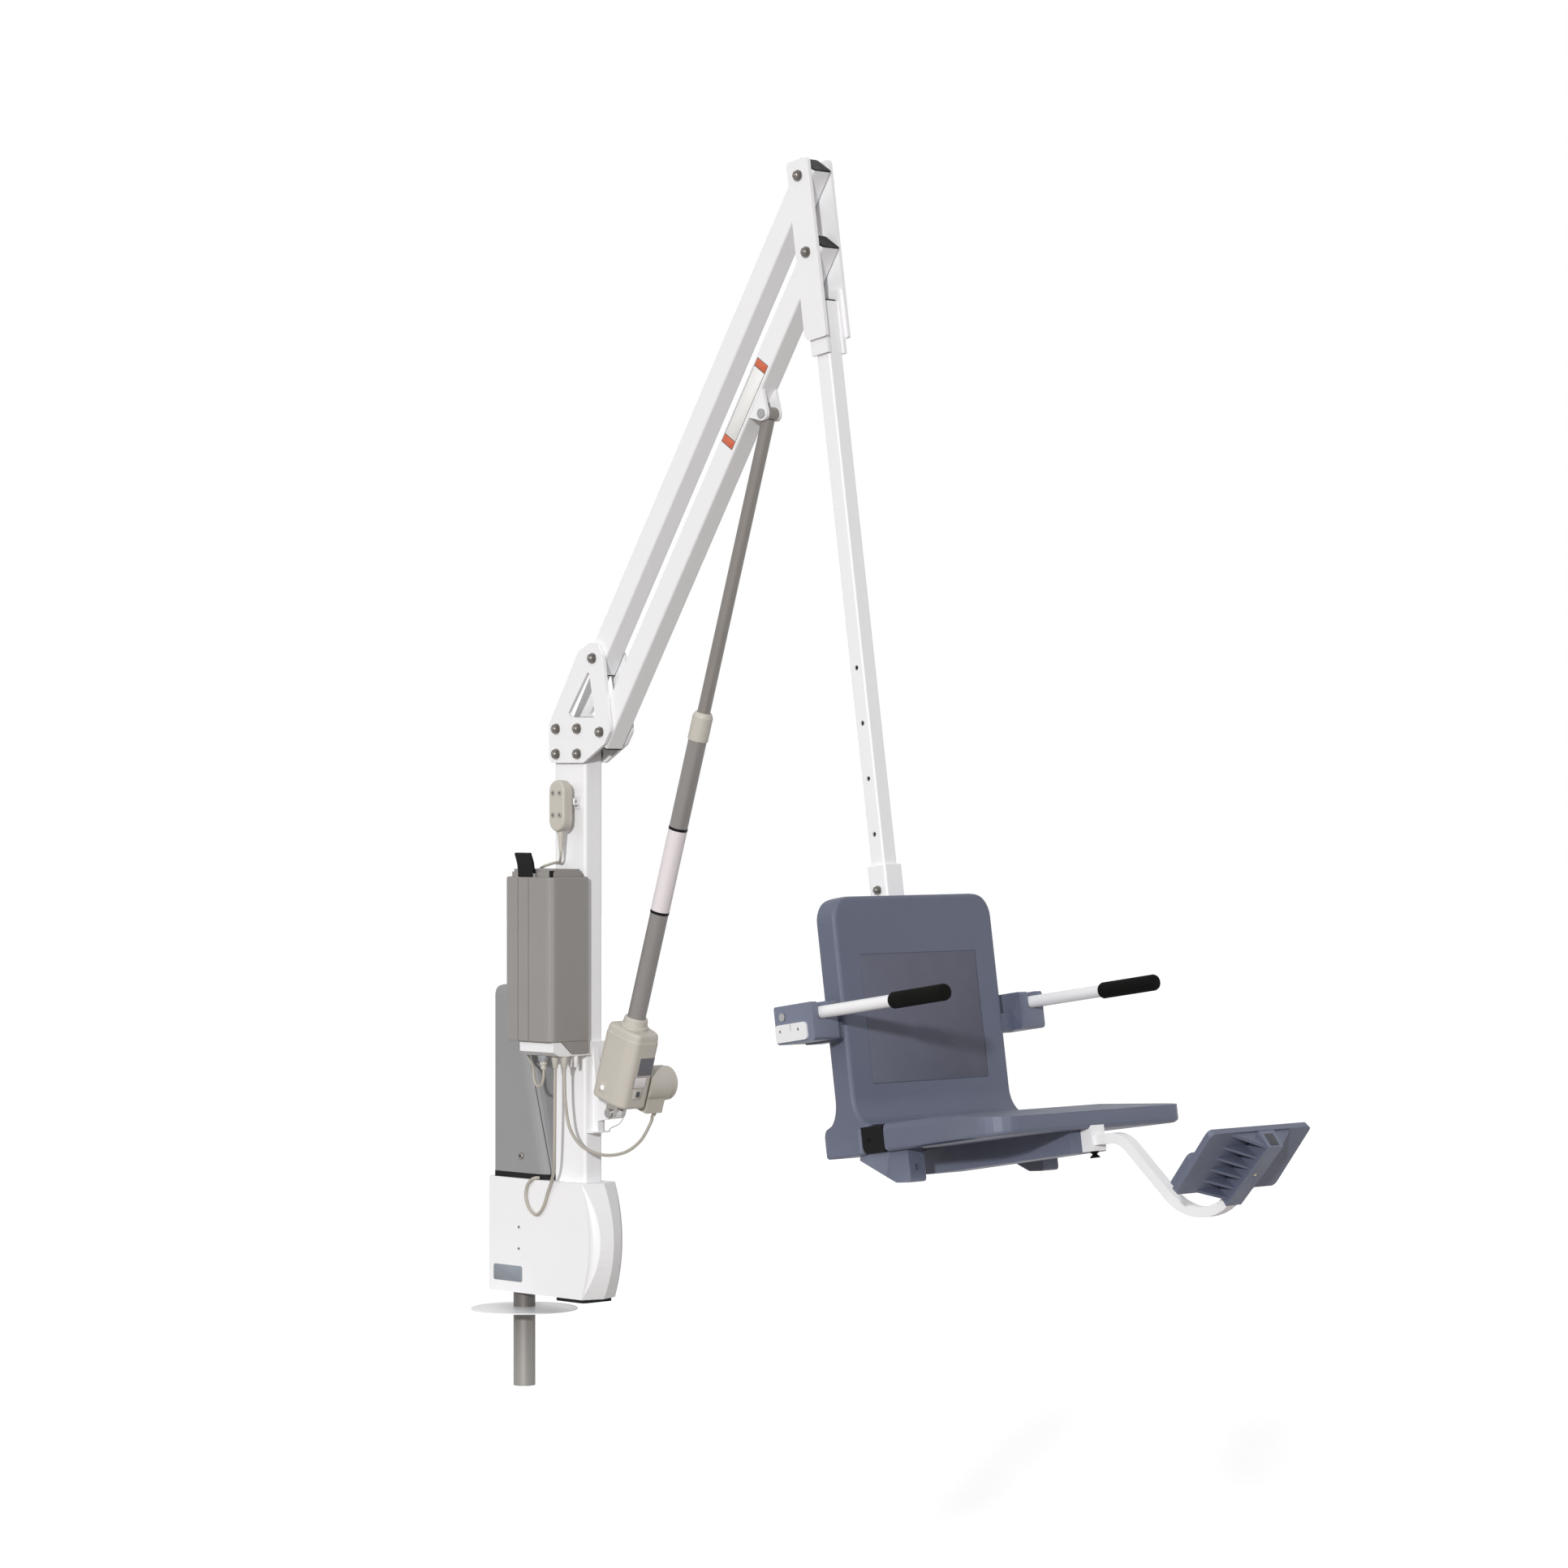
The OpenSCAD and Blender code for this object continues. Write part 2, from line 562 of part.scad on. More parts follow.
module handset_hook() color(dark) {
    translate([handset_x - 14, -mast_hw - fit - 3, handset_z - 6]) cube([46, 3, 28]);
    bar_y(handset_x, handset_z + 14, 5, handset_y + handset_t / 2 + 1, -mast_hw - fit - 3);
    bar_y(handset_x + 28.5, handset_z + 4, 2.5, -mast_hw - 18, -mast_hw - fit - 3);
    translate([handset_x + 28.5, -mast_hw - 18, handset_z + 4]) cylinder(h = 12, r = 2.5);
}

// The handset: a pill with softened faces and four wells for its buttons
function pill(w, l, k = 10) = [
    for (a = [0:k]) [w / 2 * cos(180 * a / k), (l - w) / 2 + w / 2 * sin(180 * a / k)],
    for (a = [0:k]) [-w / 2 * cos(180 * a / k), -(l - w) / 2 - w / 2 * sin(180 * a / k)]
];
button_y = handset_y - handset_t / 2;
button_w = 11;
button_pos = [[-11, 28], [11, 28], [-11, -20], [11, -20]];
function pill_ring(w, l, y) = [for (q = pill(w, l)) [handset_x + q[0], y, handset_z + q[1]]];
module handset_shell() color(beige) difference() {
    skin([for (t = [[-0.5, 6], [-0.44, 2], [-0.3, 0], [0.3, 0], [0.44, 2], [0.5, 6]])
        [for (q = pill_ring(handset_w - t[1], handset_l - t[1], handset_y - t[0] * handset_t)) q]]);
    for (b = button_pos) bar_y(handset_x + b[0], handset_z + b[1], button_w / 2 + gap, button_y - 1, button_y + 4);
    bar_y(handset_x, handset_z + 14, 5 + gap, handset_y + handset_t / 2 - 2, handset_y + handset_t / 2 + 1);
    translate([handset_x, handset_y, handset_z - handset_l / 2 - 1]) cylinder(h = 5, r = 7 + fit);
}
module button(i) color(dark)
    bar_y(handset_x + button_pos[i][0], handset_z + button_pos[i][1], button_w / 2, button_y - 1.2, button_y + 2.6);
module lift_up_button() button(0);
module lift_down_button() button(1);
module turn_left_button() button(2);
module turn_right_button() button(3);

latch_w = 50;
latch_x = mast_x + 35;
latch_y = battery_y - gap - battery_d + 6;
latch_z = battery_z + battery_h + 4;
battery_x0 = mast_x - 33.5;
battery_x1 = battery_x0 + battery_w;
battery_y1 = battery_y - gap;
battery_y0 = battery_y1 - battery_d;
battery_top = battery_z + battery_h;
module battery_pack() color(cover_gray) {
    skin([for (t = [[0, 2], [2, 0], [battery_h - 2, 0], [battery_h, 2]])
        at_z(fillet(box_pts(battery_x0 + t[1], battery_x1 - t[1], battery_y0 + t[1], battery_y1),
            [14 - t[1], 16 - t[1], 3, 3], 4), battery_z + t[0])]);
    prism_x([[battery_y1, battery_z + 1], [near_y + 23, battery_z + 1], [near_y + 53, box_z + 4],
        [battery_y1, box_z + 4]], battery_x0 + 2, battery_x1 - 2);
    difference() {
        union() {
            prism_z(fillet(box_pts(battery_x0 + 10, battery_x1 - 8, battery_y0 + 8, battery_y1 - 6), 12, 4),
                battery_top - 1, battery_top + 11);
            prism_z(fillet(box_pts(battery_x0 + 14, battery_x1 - 12, battery_y0 + 12, battery_y1 - 10), 9, 4),
                battery_top + 10, battery_top + 17);
        }
        translate([latch_x - latch_w / 2 - 7, battery_y0, battery_top])
            cube([latch_w + 14, 14, 20]);
    }
    for (s = [-1, 1]) translate([latch_x + s * (latch_w / 2 + gap + 2.5), latch_y, battery_top + 3.5])
        cube([5, 8, 9], center = true);
}
module battery_latch() color(black) {
    translate([latch_x - latch_w / 2, latch_y, latch_z]) rotate([0, 90, 0]) cylinder(h = latch_w, r = 3.5);
    prism_x([[latch_y - 3, latch_z], [latch_y + 3, latch_z], [latch_y + 3, latch_z + 4],
             [latch_y - 1, latch_z + 28], [latch_y - 9, latch_z + 49], [latch_y - 14, latch_z + 47],
             [latch_y - 6.5, latch_z + 26], [latch_y - 3, latch_z + 4]],
            latch_x - latch_w / 2, latch_x + latch_w / 2);
}

// ---- Arms ----

module arm_tube(p) along_arm(p) difference() {
    prism_x(fillet(box_pts(-mast_hw, mast_hw, -mast_hw, mast_hw), 5, 3), 3 - arm_over, arm_len + arm_over - 3);
    prism_x(fillet(box_pts(arm_wall - mast_hw, mast_hw - arm_wall, arm_wall - mast_hw, mast_hw - arm_wall), 2, 2),
        -arm_over, arm_len + arm_over);
    for (x = [0, arm_len]) bar_y(x, 0, bolt_r + gap, -mast_hw - 1, mast_hw + 1);
}
module arm_plugs(p) color(black) along_arm(p) for (x = [-arm_over, arm_len + arm_over - 3]) {
    prism_x(fillet(box_pts(-mast_hw, mast_hw, -mast_hw, mast_hw), 5, 3), x, x + 3);
    prism_x(fillet(box_pts(arm_wall - mast_hw + fit, mast_hw - arm_wall - fit, arm_wall - mast_hw + fit,
        mast_hw - arm_wall - fit), 2, 2), x < 0 ? x + 2 : x - 10, x < 0 ? x + 13 : x + 1);
}
module lower_arm_tube() color(white) {
    arm_tube(low_pivot);
    along_arm(low_pivot) difference() {
        for (s = [-1, 1]) prism_y(concat(
            [[lug_along + 44, 0.2 - mast_hw], [lug_along - 26, 0.2 - mast_hw]],
            [for (a = [200:20:320]) [lug_along, -lug_drop] + on_circle(15, a)]),
            s > 0 ? ear_in : -ear_out, s > 0 ? ear_out : -ear_in);
        bar_y(lug_along, -lug_drop, act_pin_d / 2 + fit, -ear_out - 1, ear_out + 1);
    }
}
module upper_arm_tube() color(white) arm_tube(up_pivot);
module lower_arm_plugs() arm_plugs(low_pivot);
module upper_arm_plugs() arm_plugs(up_pivot);

module actuator_top_pin() color(steel) {
    bar_y(lug_pin[0], lug_pin[1], act_pin_d / 2, -ear_out, ear_out + 4);
    bar_y(lug_pin[0], lug_pin[1], act_pin_d / 2 + 4, -ear_out - 5, -ear_out);
    bar_y(lug_pin[0], lug_pin[1], act_pin_d / 2 + 3, ear_out, ear_out + 3);
}

// ---- Actuator, in its own frame: z along the rod from the foot pin ----

screw_r = 6;
socket_a = housing_top - 47;
rod_l = act_len - act_tube_end + 69;
housing_hw = housing_w / 2;
// Plan outline of the actuator's housing drawn in by w, with its front corners drawn back
function housing_ring(w) =
    let (half = [[w - housing_back, w - housing_hw], [housing_front - 26, w - housing_hw],
             [housing_front - w, w + 10 - housing_hw]])
    fillet(concat(half, [for (i = [2:-1:0]) [half[i][0], -half[i][1]]]),
        [15 - w / 2, 40, 14 - w / 2, 14 - w / 2, 40, 15 - w / 2], 4);
module actuator_housing() color(beige) on_actuator() difference() {
    union() {
        skin([for (t = [[housing_base, 5], [housing_base + 2, 1.5], [housing_base + 6, 0], [housing_top - 20, 0],
                        [housing_top - 18, 1.2], [housing_top - 7, 2], [housing_top - 2, 4], [housing_top, 8]])
            at_z(housing_ring(t[1]), t[0])]);
        translate([0, 0, housing_top - 1]) rotate_extrude() polygon([[0, 0],
            [act_tube_d / 2 + 11, 0], [act_tube_d / 2 + 10.5, 6], [act_tube_d / 2 + 7, 9],
            [act_tube_d / 2 + 6, 20], [act_tube_d / 2 + 3.5, 24], [0, 24]]);
    }
    translate([0, 0, housing_base + 20]) cylinder(h = housing_top, r = screw_r + gap);
    translate([0, 0, socket_a]) cylinder(h = housing_top, r = act_tube_d / 2 + fit);
}
module actuator_tube() color(dark) on_actuator() difference() {
    translate([0, 0, socket_a]) cylinder(h = act_tube_end - socket_a, d = act_tube_d);
    translate([0, 0, socket_a - 1]) cylinder(h = act_tube_end - socket_a + 2, r = act_tube_d / 2 - 3);
}
module actuator_nose() color(beige) on_actuator() difference() {
    translate([0, 0, act_tube_end - 52]) rotate_extrude() polygon([[0, 0],
        [act_tube_d / 2 + 1.5, 0], [act_tube_d / 2 + 2, 2], [act_tube_d / 2 + 2, 52],
        [act_tube_d / 2 + 0.5, 56], [act_tube_d / 2 - 3, 62], [0, 62]]);
    translate([0, 0, act_tube_end - 53]) cylinder(h = 53, r = act_tube_d / 2 + fit);
    translate([0, 0, act_tube_end - 10]) cylinder(h = 30, r = rod_d / 2 + gap);
}
module lead_screw() color(steel) on_actuator()
    translate([0, 0, housing_base + 20]) cylinder(h = act_tube_end - housing_base - 66, r = screw_r);
module actuator_rod() color(dark) on_actuator() difference() {
    union() {
        translate([0, 0, act_len - rod_l]) cylinder(h = rod_l - 10, d = rod_d);
        translate([0, 0, act_len - rod_l]) cylinder(h = 25, r = act_tube_d / 2 - 3 - gap);
        bar_y(0, act_len, rod_d / 2 + 0.5, -rod_d / 2, rod_d / 2);
    }
    translate([0, 0, act_len - rod_l - 1]) cylinder(h = rod_l - 60, r = screw_r + 2);
    bar_y(0, act_len, act_pin_d / 2 + gap, -rod_d, rod_d);
}
module actuator_rear_eye() color(dark) on_actuator() difference() {
    union() {
        for (s = [-1, 1]) prism_y(concat([[13, housing_base], [-13, housing_base]],
            [for (a = [180:20:360]) on_circle(13, a)]),
            s > 0 ? lug_hw + gap : -fork_hw, s > 0 ? fork_hw : -lug_hw - gap);
        translate([-13, -fork_hw, housing_base - 8]) cube([26, 2 * fork_hw, 8]);
    }
    bar_y(0, 0, act_pin_d / 2 + gap, -fork_hw - 1, fork_hw + 1);
}
relief = [38, housing_hw + 36];
module actuator_motor() color(beige) on_actuator() {
    bar_y(act_motor_p, act_motor_a, act_motor_d / 2, housing_hw, housing_hw + act_motor_l - 20);
    bar_y(act_motor_p, act_motor_a, act_motor_d / 2 - 2,
        housing_hw + act_motor_l - 20, housing_hw + act_motor_l - 6);
    bar_y(act_motor_p, act_motor_a, act_motor_d / 2 - 8, housing_hw + act_motor_l - 6, housing_hw + act_motor_l);
    translate([4, housing_hw, 14]) cube([46, 47, act_motor_a - act_motor_d / 2 + 2]);
    translate([relief[0], relief[1], 3]) rotate_extrude() polygon([[0, 0], [4, 0], [6, 11.5], [0, 11.5]]);
}

// ---- Hanger and pole, in the chair's frame ----

pole_hw = pole_w / 2;
sleeve_hw = sleeve_w / 2;
hanger_hw = hanger_w / 2;
module hanger_bracket() color(white) on_chair() difference() {
    union() {
        for (s = [-1, 1]) {
            prism_y(fillet([[-hanger_hw, 33], [hanger_hw, 33], [hanger_hw, plate_low], [-hanger_hw, plate_low]],
                [8, 8, 4, 15], 4), s > 0 ? bracket_in : -bracket_out, s > 0 ? bracket_out : -bracket_in);
            prism_y(box_pts(-24, 24, plate_low - 32, plate_low + 103),
                s > 0 ? pole_hw + fit : -bracket_in, s > 0 ? bracket_in : -pole_hw - fit);
        }
    }
    for (t = [0, -pin_gap]) bar_y(0, t, bolt_r + fit, -bracket_out - 1, bracket_out + 1);
}
module arm_top_pins() color(dark) on_chair() for (t = [0, -pin_gap]) {
    capped_bolt(0, t, bracket_out);
    spacer_pair(0, t, mast_hw + gap, bracket_in);
}
pole_low = seat_top + 5;
module seat_pole() color(white) on_chair() difference() {
    prism_z(fillet(box_pts(-pole_hw, pole_hw, -pole_hw, pole_hw), 4, 3), 20 - pole_low, pole_top);
    prism_z(box_pts(pole_wall - pole_hw, pole_hw - pole_wall, pole_wall - pole_hw, pole_hw - pole_wall),
        -pole_low, pole_top + 1);
    for (k = [0:4]) bar_y(0, bolt_z + k * hole_pitch, 5 + fit, -pole_hw - 1, pole_hw + 1);
}
module height_bolt() color(dark) on_chair() translate([0, 0, bolt_z]) rotate([90, 0, 0]) {
    translate([0, 0, -sleeve_hw]) cylinder(h = 2 * sleeve_hw, r = 5);
    translate([0, 0, sleeve_hw]) cap_nut(16);
    translate([0, 0, -sleeve_hw - 7]) cylinder(h = 7, d = 17, $fn = 6);
}
module seat_sleeve() color(white) on_chair() difference() {
    prism_z(fillet(box_pts(-sleeve_hw, sleeve_hw, -sleeve_hw, sleeve_hw), 5, 3), -pole_low, bolt_z + 50);
    prism_z(box_pts(-pole_hw - fit, pole_hw + fit, -pole_hw - fit, pole_hw + fit), -pole_low - 1, bolt_z + 51);
    bar_y(0, bolt_z, 5 + fit, -sleeve_hw - 1, sleeve_hw + 1);
}

// ---- Chair ----

back_s = 69;
flare = 44;
bridge_y = back_hw - 4;
arm_in = rest_y - 38;
arm_out = rest_y + 29.6;
slot_hw = rest_d / 2 + 1.5;
// Back outline at height z below the upper pin: rear and front faces and half width
function back_ring(s0, s1, hw, r) = fillet(box_pts(s0, s1, -hw, hw), r, 4);
function back_hw_at(d) = d >= back_r ? back_hw
    : back_hw - back_r + sqrt(max(0, pow(back_r, 2) - pow(back_r - d, 2)));
function flare_at(u) = flare * (1 - sqrt(max(0, 1 - u * u)));
module armrest_socket() difference() {
    union() {
        prism_y(fillet(box_pts(-21.5, 87, rest_z - 54, rest_z + 22), [8, 8, 5, 5], 4), arm_in, arm_out);
        prism_y(fillet(box_pts(-15, 64, rest_z - 57, rest_z - 19), [10, 10, 4, 4], 4), bridge_y, arm_in + 1);
    }
    translate([-12, rest_y - slot_hw, rest_z - 13]) cube([110, 2 * slot_hw, 60]);
    bar_y(2, rest_z, 4 + fit, arm_in + 2, arm_out + 1);
}
// Rings of the back: rear face, front face, half width and height of each, from the base upwards
function back_ring(q) = at_z(fillet(box_pts(q[0], q[1], -q[2], q[2]), min(10, q[1] - q[0] - 12), 4), q[3]);
function edge_in(d) = d < 9 ? 9 - sqrt(81 - pow(9 - d, 2)) : 0;
back_rows = concat(
    [[-24, 77, back_hw - 3, -seat_top - 57], [-27, 79.8, back_hw, -seat_top - 53],
     [-27, 79.8, back_hw, -seat_top - 12], [-24, 79.8, back_hw, -seat_top - 2.8],
     [-23, 108, back_hw, -seat_top - 2.6]],
    [for (u = [1:-0.125:0]) [back_s - back_t - flare_at(u) * 0.8, back_s + flare_at(u), back_hw,
        -seat_top + 58 - 57 * u]],
    [for (d = [300, back_r + 1, 40, 30, 21, 14, 9, 5, 2, 0.2])
        [back_s - back_t + edge_in(d), back_s - edge_in(d), back_hw_at(d), -back_top - d]]);
module chair_back() color(navy) on_chair() {
    difference() {
        skin([for (q = back_rows) back_ring(q)]);
        translate([-60, -sleeve_hw - fit, -pole_low - fit])
            cube([60 + sleeve_hw + fit, sleeve_w + 2 * fit, pole_low - back_top + 60]);
        translate([back_s - 1.5, -166, -seat_top + 82]) cube([10, 332, seat_top - back_top - 199]);
    }
    for (s = [0, 1]) mirror([0, s, 0]) armrest_socket();
}
bracket_s = [80.1, 139.9];
module seat_bracket() color(black) on_chair() prism_y(
    fillet([[bracket_s[0], -seat_top - seat_t + 0.3], [bracket_s[1], -seat_top - seat_t + 0.3],
        [bracket_s[1], -seat_top - 3], [bracket_s[0], -seat_top - 3]], [14, 0, 2, 2], 4), 2 - back_hw, back_hw - 2);

receiver_s = seat_len - 27.7;
receiver_hw = foot_bar_w / 2 + 7;
bar_z = -2040;
seat_hw = back_hw + 4;
seat_flare = 50;
tray_hw = 50;
foot_y = 191;
// Plan outline of the seat drawn in by w: straight beside the back, wider at the front
function seat_ring(w) =
    let (half = [[140 + w / 3, w - seat_hw], [seat_len - 210, w - seat_hw - 1],
             [seat_len - w, w - seat_hw - seat_flare]])
    fillet(concat(half, [for (i = [2:-1:0]) [half[i][0], -half[i][1]]]), [12, 100, 48, 48, 100, 12], 5);
module seat_pan() color(navy) on_chair() difference() {
    union() {
        skin([for (t = [[-seat_t, 6], [4 - seat_t, 1], [8 - seat_t, 0], [-14, 0], [-6, 1.5], [-2, 4], [0, 8]])
            at_z(seat_ring(t[1]), t[0] - seat_top)]);
        prism_y(fillet([[-8, -seat_top - 57.4], [-8, -seat_top - 64], [62, -seat_top - 100], [76, -seat_top - 105],
            [receiver_s - 0.3, -seat_top - 100], [receiver_s - 0.3, -seat_top - seat_t + 1],
            [140, -seat_top - seat_t + 1], [140, -seat_top - seat_t], [80, -seat_top - seat_t],
            [80, -seat_top - 57.4]], [0, 2, 8, 12, 4, 0, 0, 0, 0, 0], 3), -tray_hw, tray_hw);
        for (s = [-1, 1]) translate([0, s * foot_y, 0]) prism_y(fillet([[58, -seat_top - 57.4],
            [55, -seat_top - 66], [124, -seat_top - 104], [150, -seat_top - 118], [190, -seat_top - 121],
            [190, -seat_top - seat_t + 1], [140, -seat_top - seat_t + 1], [140, -seat_top - seat_t],
            [80, -seat_top - seat_t], [80, -seat_top - 57.4]], [0, 2, 20, 10, 7, 0, 0, 0, 0, 0], 3), -22, 22);
    }
    prism_y([[seat_len - 195, -seat_top], [seat_len + 5, -seat_top - 21], [seat_len + 5, -seat_top + 20],
        [seat_len - 195, -seat_top + 20]], -seat_hw - seat_flare - 5, seat_hw + seat_flare + 5);
    translate([receiver_s - 132, -foot_bar_w / 2 - gap, bar_z - foot_bar_t / 2 - gap])
        cube([seat_len, foot_bar_w + 2 * gap, foot_bar_t + 2 * gap]);
    translate([receiver_s, -receiver_hw - fit, -2080])
        cube([60, 2 * (receiver_hw + fit), 2080 - seat_top - seat_t + 6]);
    for (s = [-1, 1]) translate([182, s * foot_y - 4, -seat_top - 98]) cube([12, 8, 12]);
}
module footrest_receiver() color(white) on_chair() difference() {
    translate([receiver_s + fit, -receiver_hw, bar_z - foot_bar_t / 2 - 11])
        cube([27.4, 2 * receiver_hw, foot_bar_t + 30]);
    translate([receiver_s - 1, -foot_bar_w / 2 - gap, bar_z - foot_bar_t / 2 - gap])
        cube([40, foot_bar_w + 2 * gap, foot_bar_t + 2 * gap]);
    translate([knob_s, 0, bar_z - foot_bar_t / 2 - 12]) cylinder(h = 14, r = 3 + gap);
}
knob_s = receiver_s + 13.5;
module footrest_knob() color(black) on_chair() translate([knob_s, 0, bar_z - foot_bar_t / 2]) rotate_extrude()
    polygon([[0, -gap], [3, -gap], [3, -11 - gap], [9, -11 - gap], [9, -13], [4.5, -17], [10, -22], [10, -24],
        [0, -24]]);

module armrest_strike_pads() color(white) on_chair() for (s = [0, 1]) mirror([0, s, 0]) difference() {
    prism_y(fillet(box_pts(-19, 69, rest_z - 50, rest_z - 15), 8, 4), arm_out, arm_out + 4);
    translate([23, arm_out - 1, rest_z - 30]) cube([3, 6, 20]);
    for (x = [-6, 45]) bar_y(x, rest_z - 28, 3, arm_out + 2, arm_out + 5);
}
module armrest_pivots() color(steel) on_chair() for (s = [0, 1]) mirror([0, s, 0]) {
    bar_y(2, rest_z, 4, arm_in + 2, arm_out + 1);
    bar_y(2, rest_z, 8, arm_out, arm_out + 3);
}
module armrest_tube() color(white) on_chair() difference() {
    union() {
        translate([2, rest_y, rest_z]) rotate([0, 90, 0]) cylinder(h = rest_len - 6, d = rest_d);
        translate([2, rest_y, rest_z]) sphere(d = rest_d);
    }
    bar_y(2, rest_z, 4 + gap, rest_y - 20, rest_y + 20);
}
module armrest_grip() color(black) on_chair() translate([2 + rest_len, rest_y, rest_z]) rotate([0, -90, 0])
    rotate_extrude() polygon([[0, 0], [grip_d / 2 - 7, 0], [grip_d / 2 - 2, 2.2], [grip_d / 2, 7],
        [grip_d / 2, grip_l - 4], [grip_d / 2 - 2, grip_l], [rest_d / 2 + fit, grip_l],
        [rest_d / 2 + fit, 5.8], [0, 5.8]]);
module armrest_left_tube() armrest_tube();
module armrest_left_grip() armrest_grip();
module armrest_right_tube() mirror([0, 1, 0]) armrest_tube();
module armrest_right_grip() mirror([0, 1, 0]) armrest_grip();

// ---- Footrest ----

bend_a = [receiver_s + 65.4, bar_z - 60];
bend_b = [receiver_s + 284.7, -2086];
bar_drop = 50;
bar_rise = 31;
bar_end = bend_b + on_circle(115, bar_rise - 90);
bar_path = concat(
    [[receiver_s - 73, bar_z, 0]],
    [for (i = [0:6]) let (a = bar_drop * i / 6) [bend_a[0] + 60 * sin(a), bend_a[1] + 60 * cos(a), -a]],
    [for (i = [0:10]) let (a = -bar_drop + (bar_drop + bar_rise) * i / 10)
        [bend_b[0] + 115 * sin(a), bend_b[1] - 115 * cos(a), a]]);
module footrest_bar() color(white) on_chair() skin([for (p = bar_path)
    [for (c = [[-1, -1], [1, -1], [1, 1], [-1, 1]])
        [p[0] - c[0] * foot_bar_t / 2 * sin(p[2]), c[1] * foot_bar_w / 2,
         p[1] + c[0] * foot_bar_t / 2 * cos(p[2])]]]);
plate_foot = [receiver_s + 333.7, -2164];
plate_tilt = 43.6;
boss_hw = 22;
function boss_pt(u, v) = bar_end + u * [cos(bar_rise), sin(bar_rise)] + v * [-sin(bar_rise), cos(bar_rise)];
module footplate() color(navy) on_chair() difference() {
    union() {
        translate([plate_foot[0], 0, plate_foot[1]]) rotate([0, -plate_tilt, 0]) {
            prism_z(fillet(box_pts(0, footplate_l, -footplate_hw, footplate_hw), 10, 4), 0, footplate_t);
            prism_z(fillet(box_pts(3, 81, 4 - footplate_hw, footplate_hw - 4), 10, 4),
                footplate_t - 1, footplate_t + 13);
            for (s = [-1, 1], i = [0:4]) prism_x([[s * (boss_hw - 1), 0.5], [s * 86, 0.5],
                [s * (boss_hw - 1), -28 - 2 * i]], 1 + 27 * i, 6 + 27 * i);
            prism_x([[-84, 0.5], [1 - boss_hw, -41], [boss_hw - 1, -41], [84, 0.5]], footplate_l - 9, footplate_l - 3);
        }
        prism_y([boss_pt(0, 25), boss_pt(0, -11), boss_pt(154, 12), boss_pt(154, 50), boss_pt(20, 34)],
            -boss_hw, boss_hw);
    }
    translate([boss_pt(79, 4)[0], 0, boss_pt(79, 4)[1]]) rotate([0, 180 - bar_rise, 0]) cylinder(h = 30, r = 5);
}

// ---- Cords: routes chosen by hand as points in the air ----

lanyard_pts = [for (p = [[0, 22.75, -10], [-3, 22.8, -17], [-17, 23, -28], [-39, 23, -36], [-46, 22, -42.1]])
    [foot_pin[0] + p[0], p[1], foot_pin[1] + p[2]]];
relief_low = [foot_pin[0] + relief[0] * cos(act_tilt) + 2.8 * sin(act_tilt), relief[1],
    foot_pin[1] - relief[0] * sin(act_tilt) + 2.8 * cos(act_tilt)];
actuator_lead_pts = [[plugs[2][1], plugs[2][2], plugs[2][3]], [238, -91, box_z - 51], [240, -90, box_z - 101],
    [248, -84, box_z - 156], [268, -65, 376], [294, -30, 358], [316, 12, 362], [328, 48, 386],
    relief_low - 16 * [sin(act_tilt), 0, cos(act_tilt)], relief_low];
rotation_lead_pts = [[plugs[1][1], plugs[1][2], plugs[1][3]], [207, -91, box_z - 51], [205, -90, box_z - 131],
    [197, -84, 360], [182, -72, 322], [157, -58, 293], [140, -54, 268], [126, -53.3, 238],
    [104, -53.3, 218], [80, -53.3, 228], [67, -53.3, 252], [70, -53.3, 277], [84, -53, 292],
    [95, -50, 297.2], [99, -42.8, 297.2]];
// The handset's lead hangs behind the battery box and comes up into its plug
handset_lead_pts = concat([[handset_x, handset_y, handset_z - handset_l / 2 - 42]],
    [for (p = [[184.8, -55.2, -268], [176, -49.2, -278.5], [160, -38.6, -281.5], [140, -28.8, -283],
        [115, -28.6, -288], [94, -33, -296], [88, -42, -315], [87, -56, -370], [87, -64, -470],
        [88, -68, -630], [88, -70, -668], [92, -73, -695], [104, -77, -711], [126, -87, -719],
        [141, -95.5, -733], [147.5, -99.5, -750], [157, -101, -765], [172, -101, -765],
        [180.5, -101, -750]]) [p[0], p[1], pivot_h + p[2]]],
    [[plugs[0][1], plugs[0][2], plugs[0][3]]]);
module pin_lanyard() color(steel) cord(lanyard_pts, 2, 8, 8, [0.3, 1, 0.2]);
module actuator_lead() color(beige) cord(actuator_lead_pts, lead_d, 8, 3 * lead_d, [0.5, 0.1, 1]);
module rotation_lead() color(beige) cord(rotation_lead_pts, lead_d, 8, 3 * lead_d, [0.1, 1, 0.1]);
module handset_lead() color(beige) cord(handset_lead_pts, hand_lead_d, 8, 3 * hand_lead_d, [0.2, 1, 0.15]);

anchor_post();
escutcheon();
fixed_gear();
base_frame();
post_bushes();
base_enclosure();
front_cover();
base_seals();
motor_cover();
rotation_gearmotor();
mast_tube();
mast_brackets();
mast_bracket_bolts();
actuator_bracket();
actuator_base_pin();
pin_lanyard();
control_box();
lead_plugs();
handset_hook();
handset_shell();
actuator_lead();
rotation_lead();
handset_lead();
drive_pinion();
battery_pack();
battery_latch();
lift_up_button();
lift_down_button();
turn_left_button();
turn_right_button();
lower_arm_tube();
lower_arm_plugs();
actuator_top_pin();
upper_arm_tube();
upper_arm_plugs();
hanger_bracket();
arm_top_pins();
height_bolt();
seat_pole();
seat_sleeve();
chair_back();
seat_bracket();
seat_pan();
armrest_strike_pads();
armrest_pivots();
footrest_receiver();
armrest_right_tube();
armrest_right_grip();
